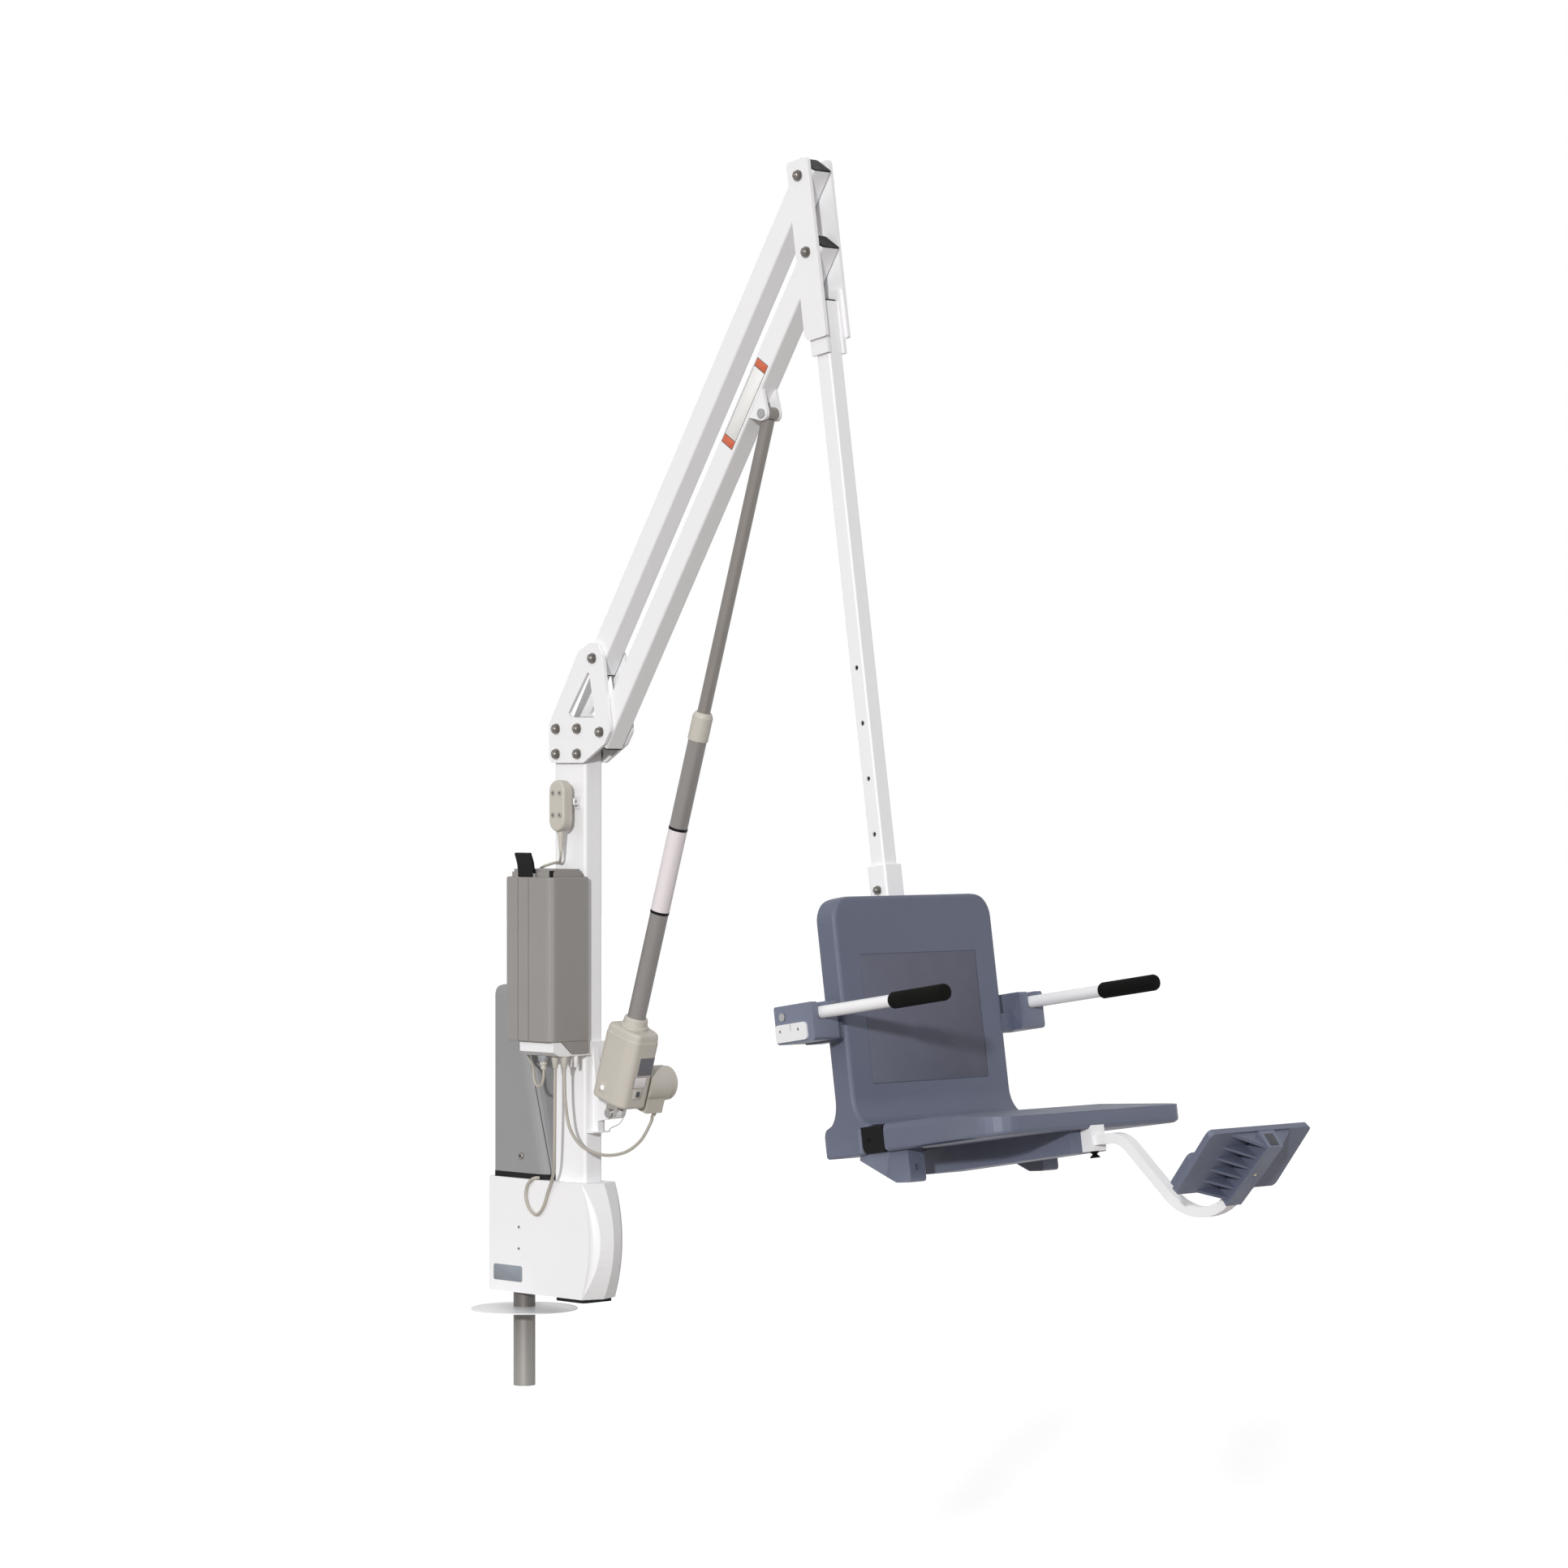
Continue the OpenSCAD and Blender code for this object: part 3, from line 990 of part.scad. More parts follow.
armrest_left_tube();
armrest_left_grip();
footrest_bar();
footplate();
footrest_knob();
actuator_housing();
actuator_tube();
actuator_nose();
actuator_motor();
actuator_rear_eye();
lead_screw();
actuator_rod();
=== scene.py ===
import json
import math

import bmesh
import bpy
from mathutils import Matrix, Vector


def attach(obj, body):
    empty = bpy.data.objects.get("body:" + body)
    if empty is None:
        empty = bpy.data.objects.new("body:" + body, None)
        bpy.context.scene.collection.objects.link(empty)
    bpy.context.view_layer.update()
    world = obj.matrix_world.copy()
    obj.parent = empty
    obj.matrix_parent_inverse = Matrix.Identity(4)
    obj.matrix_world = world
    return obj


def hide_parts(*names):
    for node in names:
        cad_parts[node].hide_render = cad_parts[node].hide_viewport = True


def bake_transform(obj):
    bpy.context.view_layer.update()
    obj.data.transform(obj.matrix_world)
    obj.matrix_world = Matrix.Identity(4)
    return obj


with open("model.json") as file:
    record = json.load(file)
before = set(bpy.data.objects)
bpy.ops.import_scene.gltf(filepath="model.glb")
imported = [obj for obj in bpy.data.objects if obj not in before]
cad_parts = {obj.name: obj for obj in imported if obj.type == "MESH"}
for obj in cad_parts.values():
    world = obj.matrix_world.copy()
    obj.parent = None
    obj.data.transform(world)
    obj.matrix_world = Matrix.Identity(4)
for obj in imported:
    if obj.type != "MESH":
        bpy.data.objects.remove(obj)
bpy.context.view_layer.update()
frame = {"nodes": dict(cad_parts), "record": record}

# Pool patient lift, dressed over its CAD frame. Lengths here are millimetres until to_m() makes metres.
MM = 0.001


def to_m(p):
    return Vector(p) * MM


def to_linear(c):
    c = c / 255
    return c / 12.92 if c <= 0.04045 else ((c + 0.055) / 1.055) ** 2.4


def srgb(r, g, b):
    return (to_linear(r), to_linear(g), to_linear(b), 1.0)


# Camera: level, and as far away as the photograph's perspective says

CAMERA_LENS, CAMERA_SENSOR = 104.35, 36.0
CAMERA_PLACE, CAMERA_AZIMUTH = (7.616, -6.558, 1.158), 46

camera_data = bpy.data.cameras.new("camera")
camera_data.sensor_width = CAMERA_SENSOR
camera_data.lens = CAMERA_LENS
camera = bpy.data.objects.new("camera", camera_data)
camera.location = CAMERA_PLACE
camera.rotation_euler = (math.radians(90), 0, math.radians(CAMERA_AZIMUTH))
bpy.context.scene.collection.objects.link(camera)
bpy.context.scene.camera = camera

# Frames that repeat the CAD's sizes

MAST_X, MAST_FRONT, MAST_HW = 129.5, 231.1, 25.4
MAST_TOP = 1300.0
ARM_RAISE = math.radians(57)
CHAIR_TILT = math.radians(8.6)
PIVOT_REACH, PIVOT_H, PIVOT_GAP = 59.4, 1270.0, 161.4
ARM_LENGTH = 1170
LOW_PIVOT = (MAST_FRONT + PIVOT_REACH, PIVOT_H)
UP_PIVOT = (LOW_PIVOT[0] - PIVOT_GAP * math.sin(CHAIR_TILT),
            LOW_PIVOT[1] + PIVOT_GAP * math.cos(CHAIR_TILT))
UP_TIP = (UP_PIVOT[0] + ARM_LENGTH * math.cos(ARM_RAISE), UP_PIVOT[1] + ARM_LENGTH * math.sin(ARM_RAISE))
FOOT_PIN = (301.1, 448.058)
ACT_TILT = math.radians(17.979)
LEAD_PLUGS = ((207.5, -90.85), (237.5, -90.85))
HANDSET_PLUG = (180.5, -100.85)


def frame_at(x, z, turn_y):
    """Matrix in millimetres of a frame at (x, 0, z), turned about +Y."""
    return Matrix.Translation((x, 0, z)) @ Matrix.Rotation(turn_y, 4, "Y")


ARM = frame_at(*LOW_PIVOT, -ARM_RAISE)
ACTUATOR = frame_at(*FOOT_PIN, ACT_TILT)
CHAIR = frame_at(*UP_TIP, -CHAIR_TILT)
HERE = Matrix.Identity(4)

# Mesh helpers


def add_mesh(name, verts, faces, place=HERE):
    """New smooth-shaded object from millimetre points in the frame `place`."""
    mesh = bpy.data.meshes.new(name)
    mesh.from_pydata([tuple(to_m(place @ Vector(v))) for v in verts], [], faces)
    mesh.validate()
    obj = bpy.data.objects.new(name, mesh)
    bpy.context.scene.collection.objects.link(obj)
    clean = bmesh.new()
    clean.from_mesh(mesh)
    bmesh.ops.remove_doubles(clean, verts=clean.verts, dist=1e-7)
    bmesh.ops.recalc_face_normals(clean, faces=clean.faces)
    clean.to_mesh(mesh)
    clean.free()
    for face in mesh.polygons:
        face.use_smooth = True
    return obj


def loft(name, rings, place=HERE, caps=True):
    """Skin over rings of equal length, closed by caps at both ends or by a last ring like the first."""
    n, m = len(rings[0]), len(rings)
    verts = [p for ring in rings for p in ring]
    faces = [(k * n + i, k * n + (i + 1) % n, (k + 1) * n + (i + 1) % n, (k + 1) * n + i)
             for k in range(m - 1) for i in range(n)]
    if caps:
        faces += [tuple(range(n - 1, -1, -1)), tuple((m - 1) * n + i for i in range(n))]
    return add_mesh(name, verts, faces, place)


def sharpen(obj, angle=35):
    """Splits the shading at edges sharper than the angle."""
    split = obj.modifiers.new("edges", "EDGE_SPLIT")
    split.split_angle = math.radians(angle)
    return obj


def outline(w, h, r, k=6):
    """Rounded rectangle about the origin."""
    r = max(0.001, min(r, w / 2, h / 2))
    pts = []
    for cx, cy, a0 in ((w / 2 - r, h / 2 - r, 0), (r - w / 2, h / 2 - r, 90),
                       (r - w / 2, r - h / 2, 180), (w / 2 - r, r - h / 2, 270)):
        pts += [(cx + r * math.cos(math.radians(a0 + 90 * i / k)),
                 cy + r * math.sin(math.radians(a0 + 90 * i / k))) for i in range(k + 1)]
    return pts


def plate(name, centre, u, v, size, thick, r=2.0, edge=0.3, place=HERE):
    """Thin rounded plate: centre of its lower face, directions u and v in its plane, thick along u x v."""
    u, v = Vector(u).normalized(), Vector(v).normalized()
    n = u.cross(v)
    rings = []
    for inset, height in ((0, 0), (0, thick - edge), (edge, thick)):
        rings.append([Vector(centre) + u * a + v * b + n * height
                      for a, b in outline(size[0] - 2 * inset, size[1] - 2 * inset, r - inset)])
    return sharpen(loft(name, rings, place), 50)


def turned(name, profile, centre, axis, sides=32, place=HERE, caps=True):
    """Solid of revolution: profile of (radius, height) pairs along the axis from centre. Without caps
    the profile ends where it starts, and the solid is a ring."""
    axis = Vector(axis).normalized()
    u = axis.orthogonal().normalized()
    w = axis.cross(u)
    rings = [[Vector(centre) + axis * h + (u * math.cos(a) + w * math.sin(a)) * max(r, 0.01)
              for a in [2 * math.pi * i / sides for i in range(sides)]] for r, h in profile]
    return sharpen(loft(name, rings, place, caps), 40)


def dress(obj, body, material):
    """Gives a piece its material and the body that it moves with."""
    obj.data.materials.clear()
    obj.data.materials.append(material)
    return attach(obj, body)


# Cords: the same routes as the CAD's


def between(a, b, c, d, t):
    """Point at share t between b and c, on the smooth curve through a, b, c and d."""
    return 0.5 * (2 * b + (c - a) * t + (2 * a - 5 * b + 4 * c - d) * t * t
                  + (3 * b - a - 3 * c + d) * t ** 3)


def route(points, step):
    """Points about a step apart along the smooth curve through the given ones."""
    p = [Vector(q) for q in points]
    n = len(p)
    out = []
    for i in range(n - 1):
        a = 2 * p[0] - p[1] if i == 0 else p[i - 1]
        d = 2 * p[n - 1] - p[n - 2] if i == n - 2 else p[i + 2]
        k = max(1, round((p[i + 1] - p[i]).length / step))
        out += [between(a, p[i], p[i + 1], d, j / k) for j in range(k)]
    return out + [p[-1]]


def cord_tube(name, points, diameter, step, sides=16):
    """Round tube along the route, with its frame carried along so that it doesn't twist."""
    path = route(points, step)
    side = None
    rings = []
    for i, p in enumerate(path):
        ahead = (path[min(i + 1, len(path) - 1)] - path[max(i - 1, 0)]).normalized()
        if side is None:
            side = ahead.orthogonal().normalized()
        side = (side - ahead * side.dot(ahead)).normalized()
        other = ahead.cross(side)
        rings.append([p + (side * math.cos(a) + other * math.sin(a)) * diameter / 2
                      for a in [2 * math.pi * j / sides for j in range(sides)]])
    obj = sharpen(loft(name, rings), 60)
    length = sum((b - a).length for a, b in zip(path, path[1:])) * MM
    return obj, [tuple(to_m(p)) for p in path], length


RELIEF_LOW = ACTUATOR @ Vector((38, 73.5, 2.8))
RELIEF_DIR = Vector((math.sin(ACT_TILT), 0, math.cos(ACT_TILT)))
LANYARD = [(FOOT_PIN[0] + x, y, FOOT_PIN[1] + z)
           for x, y, z in ((0, 22.75, -10), (-3, 22.8, -17), (-17, 23, -28), (-39, 23, -36),
                           (-46, 22, -42.1))]
ACTUATOR_LEAD = [(*LEAD_PLUGS[1], 555), (238, -91, 520), (240, -90, 470), (248, -84, 415), (268, -65, 376),
                 (294, -30, 358), (316, 12, 362), (328, 48, 386), RELIEF_LOW - 16 * RELIEF_DIR, RELIEF_LOW]
ROTATION_LEAD = [(*LEAD_PLUGS[0], 555), (207, -91, 520), (205, -90, 440), (197, -84, 360), (182, -72, 322),
                 (157, -58, 293), (140, -54, 268), (126, -53.3, 238), (104, -53.3, 218), (80, -53.3, 228),
                 (67, -53.3, 252), (70, -53.3, 277), (84, -53, 292), (95, -50, 297.2), (99, -42.8, 297.2)]
HANDSET_LEAD = [(186, -56, 1012.5), (184.8, -55.2, 1002), (176, -49.2, 991.5), (160, -38.6, 988.5),
                (140, -28.8, 987), (115, -28.6, 982), (94, -33, 974), (88, -42, 955), (87, -56, 900),
                (87, -64, 800), (88, -68, 640), (88, -70, 602), (92, -73, 575), (104, -77, 559),
                (126, -87, 551), (141, -95.5, 537), (147.5, -99.5, 520), (157, -101, 505),
                (172, -101, 505), (180.5, -101, 520), (*HANDSET_PLUG, 541)]

# Materials: every one is made of nodes in the piece's own coordinates

ROUGH_SPREAD = 0.08


def surface(name, base, other, roughness, metal=0.0, grain=900.0, bump=0.05, mottle=9.0, wear=None,
            coat=0.0, stretch=(1, 1, 1), specular=0.5, cells=None):
    """Paint, plastic, metal or rubber: two colours mottled together, a fine grain in the bump and
    an uneven roughness. wear is a colour that shows on outer edges; cells adds a moulded cell pattern.
    A grain finer than a pixel speckles on the actuator's tube and label, so theirs is coarse."""
    mat = bpy.data.materials.new(name)
    mat.use_nodes = True
    nodes, links = mat.node_tree.nodes, mat.node_tree.links
    shader = nodes["Principled BSDF"]
    shader.inputs["Metallic"].default_value = metal
    shader.inputs["Coat Weight"].default_value = coat
    shader.inputs["Coat Roughness"].default_value = 0.12
    shader.inputs["Specular IOR Level"].default_value = specular
    where = nodes.new("ShaderNodeTexCoord")
    scale = nodes.new("ShaderNodeMapping")
    scale.inputs["Scale"].default_value = stretch
    links.new(where.outputs["Object"], scale.inputs["Vector"])

    def noise(size, detail=2.0):
        made = nodes.new("ShaderNodeTexNoise")
        made.inputs["Scale"].default_value = size
        made.inputs["Detail"].default_value = detail
        links.new(scale.outputs["Vector"], made.inputs["Vector"])
        return made

    def blend(first, second, factor):
        mix = nodes.new("ShaderNodeMix")
        mix.data_type = "RGBA"
        for socket, value in ((6, first), (7, second)):
            if isinstance(value, tuple):
                mix.inputs[socket].default_value = value
            else:
                links.new(value, mix.inputs[socket])
        links.new(factor, mix.inputs[0])
        return mix.outputs[2]

    patches = noise(mottle, 4.0)
    colour = blend(base, other, patches.outputs["Fac"])
    if wear:
        edges = nodes.new("ShaderNodeNewGeometry")
        pick = nodes.new("ShaderNodeMapRange")
        pick.inputs["From Min"].default_value = 0.53
        pick.inputs["From Max"].default_value = 0.62
        pick.inputs["To Max"].default_value = 0.6
        links.new(edges.outputs["Pointiness"], pick.inputs["Value"])
        colour = blend(colour, wear, pick.outputs["Result"])
    links.new(colour, shader.inputs["Base Color"])
    spread = nodes.new("ShaderNodeMapRange")
    spread.inputs["To Min"].default_value = max(0.02, roughness - ROUGH_SPREAD)
    spread.inputs["To Max"].default_value = min(1.0, roughness + ROUGH_SPREAD)
    links.new(noise(mottle * 4, 3.0).outputs["Fac"], spread.inputs["Value"])
    links.new(spread.outputs["Result"], shader.inputs["Roughness"])
    height = noise(grain, 2.0).outputs["Fac"]
    if cells:
        pits = nodes.new("ShaderNodeTexVoronoi")
        pits.inputs["Scale"].default_value = cells
        links.new(scale.outputs["Vector"], pits.inputs["Vector"])
        total = nodes.new("ShaderNodeMath")
        total.operation = "ADD"
        links.new(height, total.inputs[0])
        links.new(pits.outputs["Distance"], total.inputs[1])
        height = total.outputs["Value"]
    relief = nodes.new("ShaderNodeBump")
    relief.inputs["Strength"].default_value = bump
    relief.inputs["Distance"].default_value = 0.001
    links.new(height, relief.inputs["Height"])
    links.new(relief.outputs["Normal"], shader.inputs["Normal"])
    return mat


MATERIALS = {
    "white_coat": surface("white_powder_coat", srgb(248, 248, 249), srgb(243, 243, 245), 0.38,
                          grain=420, bump=0.10, coat=0.15),
    "post_steel": surface("drawn_steel", srgb(112, 108, 105), srgb(104, 100, 97), 0.5, metal=0.35,
                          grain=300, bump=0.04, stretch=(3, 3, 1), wear=srgb(170, 168, 164)),
    "gear_steel": surface("machined_steel", srgb(120, 120, 122), srgb(92, 92, 95), 0.38, metal=0.8,
                          grain=500, bump=0.15, stretch=(1, 1, 5)),
    "bush_nylon": surface("nylon", srgb(232, 229, 216), srgb(222, 219, 206), 0.5, grain=500, bump=0.04),
    "seal_rubber": surface("rubber", srgb(20, 20, 21), srgb(29, 29, 30), 0.72, grain=700, bump=0.1,
                           specular=0.2),
    "gray_cover": surface("textured_gray_plastic", srgb(152, 152, 154), srgb(144, 144, 146), 0.52,
                          grain=1500, bump=0.28, cells=1100, mottle=6),
    "battery_gray": surface("battery_gray", srgb(154, 150, 147), srgb(147, 143, 140), 0.5,
                            grain=1500, bump=0.28, cells=1100, mottle=6),
    "motor_paint": surface("motor_paint", srgb(60, 61, 64), srgb(48, 49, 52), 0.45, grain=500, bump=0.1),
    "dark_hardware": surface("plated_steel", srgb(128, 123, 118), srgb(104, 100, 96), 0.33, metal=0.85,
                             grain=600, bump=0.08, wear=srgb(196, 192, 188)),
    "bright_steel": surface("bright_steel", srgb(178, 177, 175), srgb(160, 159, 158), 0.28, metal=0.9,
                            grain=600, bump=0.05),
    "beige_plastic": surface("beige_plastic", srgb(203, 198, 188), srgb(194, 189, 179), 0.46,
                             grain=1300, bump=0.16, cells=900, mottle=8),
    "button_gray": surface("button_rubber", srgb(172, 168, 160), srgb(164, 160, 152), 0.6, grain=900,
                           bump=0.08),
    "lead_gray": surface("lead_jacket", srgb(186, 181, 170), srgb(174, 169, 158), 0.5, grain=700, bump=0.08),
    "black_plastic": surface("black_plastic", srgb(11, 11, 12), srgb(17, 17, 18), 0.45,
                             grain=1100, bump=0.12, specular=0.12),
    "navy_plastic": surface("blue_gray_plastic", srgb(96, 102, 122), srgb(90, 96, 115), 0.5,
                            grain=1200, bump=0.22, cells=800, mottle=5, wear=srgb(128, 134, 154)),
    "white_plastic": surface("white_plastic", srgb(240, 240, 241), srgb(233, 233, 235), 0.4,
                             grain=900, bump=0.06),
    "grip_foam": surface("grip_foam", srgb(12, 12, 12), srgb(22, 22, 20), 0.9, grain=1500, bump=0.5,
                         cells=420, specular=0.1),
    "tube_gray": surface("gray_tube_paint", srgb(142, 138, 136), srgb(133, 129, 127), 0.4,
                         grain=90, bump=0.06, coat=0.2),
    "rod_steel": surface("gray_rod", srgb(140, 135, 130), srgb(128, 123, 118), 0.34, metal=0.35,
                         grain=400, bump=0.06, stretch=(3, 3, 0.5)),
}
EXTRA = {
    "orange": surface("orange_vinyl", srgb(214, 104, 66), srgb(206, 98, 61), 0.45, grain=800, bump=0.03),
    "vinyl": surface("white_vinyl", srgb(244, 243, 241), srgb(238, 237, 235), 0.42, grain=800, bump=0.03),
    "pink_vinyl": surface("pale_vinyl", srgb(236, 228, 230), srgb(229, 221, 224), 0.42, grain=90, bump=0.03),
    "plate_gray": surface("plate_gray", srgb(140, 146, 154), srgb(130, 136, 144), 0.4, metal=0.3,
                          grain=300, bump=0.05, stretch=(1, 8, 1)),
    "label_gray": surface("label_gray", srgb(104, 104, 110), srgb(97, 97, 103), 0.5, grain=800, bump=0.05),
    "edge_gray": surface("label_edge", srgb(92, 92, 96), srgb(84, 84, 88), 0.5, grain=800, bump=0.03),
    "seam": surface("dark_seam", srgb(38, 37, 37), srgb(46, 45, 45), 0.7, grain=900, bump=0.05),
    "icon": surface("icon_print", srgb(66, 68, 74), srgb(58, 60, 66), 0.6, grain=900, bump=0.03),
    "collar": surface("plug_collar", srgb(150, 152, 156), srgb(138, 140, 144), 0.4, grain=900, bump=0.06),
    "panel": surface("back_panel", srgb(98, 100, 116), srgb(90, 92, 107), 0.62, grain=1400, bump=0.4,
                     cells=520, mottle=7),
    "brass": surface("pale_brass", srgb(196, 178, 152), srgb(182, 164, 140), 0.35, metal=0.6, grain=700,
                     bump=0.05),
}

# Nodes whose look differs from their slot's: the hook is moulded, the battery's gray is warmer
OWN_LOOK = {"handset_hook": "white_plastic", "battery_pack": "battery_gray"}
SLOT_OF = {part["node"]: part["material_slot"] for part in frame["record"]["subparts"]}
for node_name, node in frame["nodes"].items():
    node.data.materials.clear()
    node.data.materials.append(MATERIALS[OWN_LOOK.get(node_name, SLOT_OF[node_name])])


def lamp_glow(name, colour, strength):
    """A small lit indicator: a lens whose middle shines."""
    mat = surface(name, colour, colour, 0.2, grain=900, bump=0.02)
    shader = mat.node_tree.nodes["Principled BSDF"]
    shader.inputs["Emission Color"].default_value = colour
    shader.inputs["Emission Strength"].default_value = strength
    return mat


EXTRA["lens"] = lamp_glow("indicator_lens", srgb(240, 250, 255), 0.8)

# Cords


def lead(name, points, diameter, node, slot="lead_gray", step=5.0):
    """Cord along its route, in place of the CAD's own node."""
    obj, path, length = cord_tube(name, points, diameter, step)
    obj.data.materials.append(MATERIALS[slot])
    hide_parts(node)
    return obj


swivel_lead = lead("rotation_lead_dressed", ROTATION_LEAD, 7, "rotation_lead")
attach(swivel_lead, "column")
pendant_lead = lead("handset_lead_dressed", HANDSET_LEAD, 6, "handset_lead")
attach(pendant_lead, "column")
lanyard = lead("pin_lanyard_dressed", LANYARD, 2, "pin_lanyard", slot="bright_steel", step=2.5)
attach(lanyard, "column")
drive_lead = lead("actuator_lead_dressed", ACTUATOR_LEAD, 7, "actuator_lead")
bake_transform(drive_lead)

# Trim that the CAD leaves to the looks

OUT = (0, -1, 0)
ALONG_X, UP_Z = (1, 0, 0), (0, 0, 1)


def near_plate(name, x, z, y, size, thick, material, body, r=2.0, place=HERE):
    """Plate on a face that looks along -Y, with its lower face at y."""
    return dress(plate(name, (x, y, z), ALONG_X, UP_Z, size, thick, r, place=place), body, material)


def front_plate(name, x, y, z, size, thick, material, body, r=2.0, place=HERE):
    """Plate on a face that looks along +X of its frame."""
    return dress(plate(name, (x, y, z), (0, 1, 0), UP_Z, size, thick, r, place=place), body, material)


def pan_screw(name, centre, axis, radius, body, place=HERE, slot="dark_hardware"):
    """Low domed head with a round socket."""
    head = [(radius, -0.5), (radius, 0.25 * radius), (0.88 * radius, 0.42 * radius),
            (0.62 * radius, 0.55 * radius), (0.45 * radius, 0.56 * radius), (0.42 * radius, 0.2 * radius)]
    return dress(turned(name, head, centre, axis, 24, place), body, MATERIALS[slot])


def cap(name, w, d, z0, body, place=HERE, x=0.0, slot="black_plastic"):
    """Plug over the end of a square tube, with a rounded rim."""
    rings = [[(x + a, b, z0 + h) for a, b in outline(w - 2 * s, d - 2 * s, 6 - s)]
             for s, h in ((0.2, 0), (0, 0.6), (0, 2.4), (0.5, 3.2), (1.6, 3.6))]
    return dress(sharpen(loft(name, rings, place), 50), body, MATERIALS[slot])


POLE_W, POLE_TOP = 38, -265
cap("mast_cap", MAST_FRONT - MAST_X, 2 * MAST_HW, MAST_TOP, "column", x=(MAST_X + MAST_FRONT) / 2)
cap("pole_cap", POLE_W, POLE_W, POLE_TOP, "chair", CHAIR)

# Blank label strip on the lower arm, with a dark rim and an orange piece at each end
ARM_FACE = -MAST_HW - 0.02
LABEL_MID, LABEL_H, LABEL_END = 813, 36, 91
near_plate("arm_label_rim", LABEL_MID, 0, ARM_FACE, (202, 38.5), 0.15, EXTRA["edge_gray"],
           "lower_arm", 1.5, ARM)
near_plate("arm_label", LABEL_MID, 0, ARM_FACE, (162, LABEL_H), 0.35, EXTRA["vinyl"],
           "lower_arm", 1.0, ARM)
for k, a in enumerate((LABEL_MID - LABEL_END, LABEL_MID + LABEL_END)):
    near_plate(f"arm_label_end_{k}", a, 0, ARM_FACE, (17, LABEL_H), 0.4, EXTRA["orange"],
               "lower_arm", 1.0, ARM)

# Pale sleeve label with a black ring at each end, on the actuator's tube
TUBE_R = 20.0
LABEL_LOW, LABEL_HIGH, RING_W = 462, 644, 6


def tube_band(name, a0, a1, grow, material):
    """Open ring round the tube, so that the rod has its room inside."""
    prof = [(TUBE_R - 0.05, a0), (TUBE_R + 0.05, a0), (TUBE_R + grow, a0 + 0.2), (TUBE_R + grow, a1 - 0.2),
            (TUBE_R + 0.05, a1), (TUBE_R - 0.05, a1), (TUBE_R - 0.05, a0)]
    return dress(turned(name, prof, (0, 0, 0), UP_Z, 64, ACTUATOR, caps=False), "actuator", material)


tube_band("tube_label", LABEL_LOW, LABEL_HIGH, 0.35, EXTRA["pink_vinyl"])
tube_band("tube_ring_low", LABEL_LOW - RING_W, LABEL_LOW, 0.7, MATERIALS["black_plastic"])
tube_band("tube_ring_high", LABEL_HIGH, LABEL_HIGH + RING_W, 0.7, MATERIALS["black_plastic"])

# Base enclosure: blank data plate and two screws; a larger screw in the motor cover
NEAR_BASE, NEAR_COVER = -49.0, -42
near_plate("data_plate", 1.5, 83, NEAR_BASE, (96, 35), 0.8, EXTRA["plate_gray"], "column", 5)
for k, z in enumerate((186, 139)):
    pan_screw(f"enclosure_screw_{k}", (38.6, NEAR_BASE, z), OUT, 3.2, "column")
pan_screw("cover_screw", (38.7, NEAR_COVER, 342), OUT, 7.5, "column")


def rounded_box(x0, x1, y0, y1, radii, k=6):
    """Plan outline with its own radius at each corner, from (x0, y0) turning left."""
    pts = []
    for cx, cy, sx, sy, a0, r in ((x0, y0, 1, 1, 180, radii[0]), (x1, y0, -1, 1, 270, radii[1]),
                                  (x1, y1, -1, -1, 0, radii[2]), (x0, y1, 1, -1, 90, radii[3])):
        pts += [(cx + sx * r + r * math.cos(math.radians(a0 + 90 * i / k)),
                 cy + sy * r + r * math.sin(math.radians(a0 + 90 * i / k))) for i in range(k + 1)]
    return pts


def band(name, outer, inner, z0, z1, body, material):
    """Closed ring between two plan outlines; its last ring meets its first."""
    rings = [[(x, y, z) for x, y in ring]
             for ring, z in ((outer, z0), (outer, z1), (inner, z1), (inner, z0), (outer, z0))]
    return dress(sharpen(loft(name, rings, caps=False), 40), body, material)


# Motor cover: rubber foot and the seam down its sloping front
COVER_BACK, COVER_FRONT, COVER_TOP_FRONT, COVER_HW = -56.0, 126.5, 42, 42.0
COVER_Z, COVER_H = 300.0, 416.0
SLOPE_START, SLOPE_END, SLOPE, SLOPE_DROP = 0.04, 0.62, 1.17, 0.679
COVER_ROUND, COVER_ROUND_BACK = 36, 10
SEAM_HALF = 0.8


def cover_outline(grow):
    """Plan outline of the cover's foot, grown all round."""
    return rounded_box(COVER_BACK - grow, COVER_FRONT + grow, -COVER_HW - grow, COVER_HW + grow,
                       [r + grow for r in (COVER_ROUND_BACK, COVER_ROUND, COVER_ROUND, COVER_ROUND_BACK)])


def cover_front(share):
    """Front of the cover at a share of its height, as in the CAD."""
    if share < SLOPE_START:
        drop = 0.0
    elif share < SLOPE_END:
        drop = (share - SLOPE_START) * SLOPE
    else:
        over = math.sin(math.radians(90 * (share - SLOPE_END) / (1 - SLOPE_END)))
        drop = SLOPE_DROP + (1 - SLOPE_DROP) * over
    return COVER_FRONT - (COVER_FRONT - COVER_TOP_FRONT) * drop


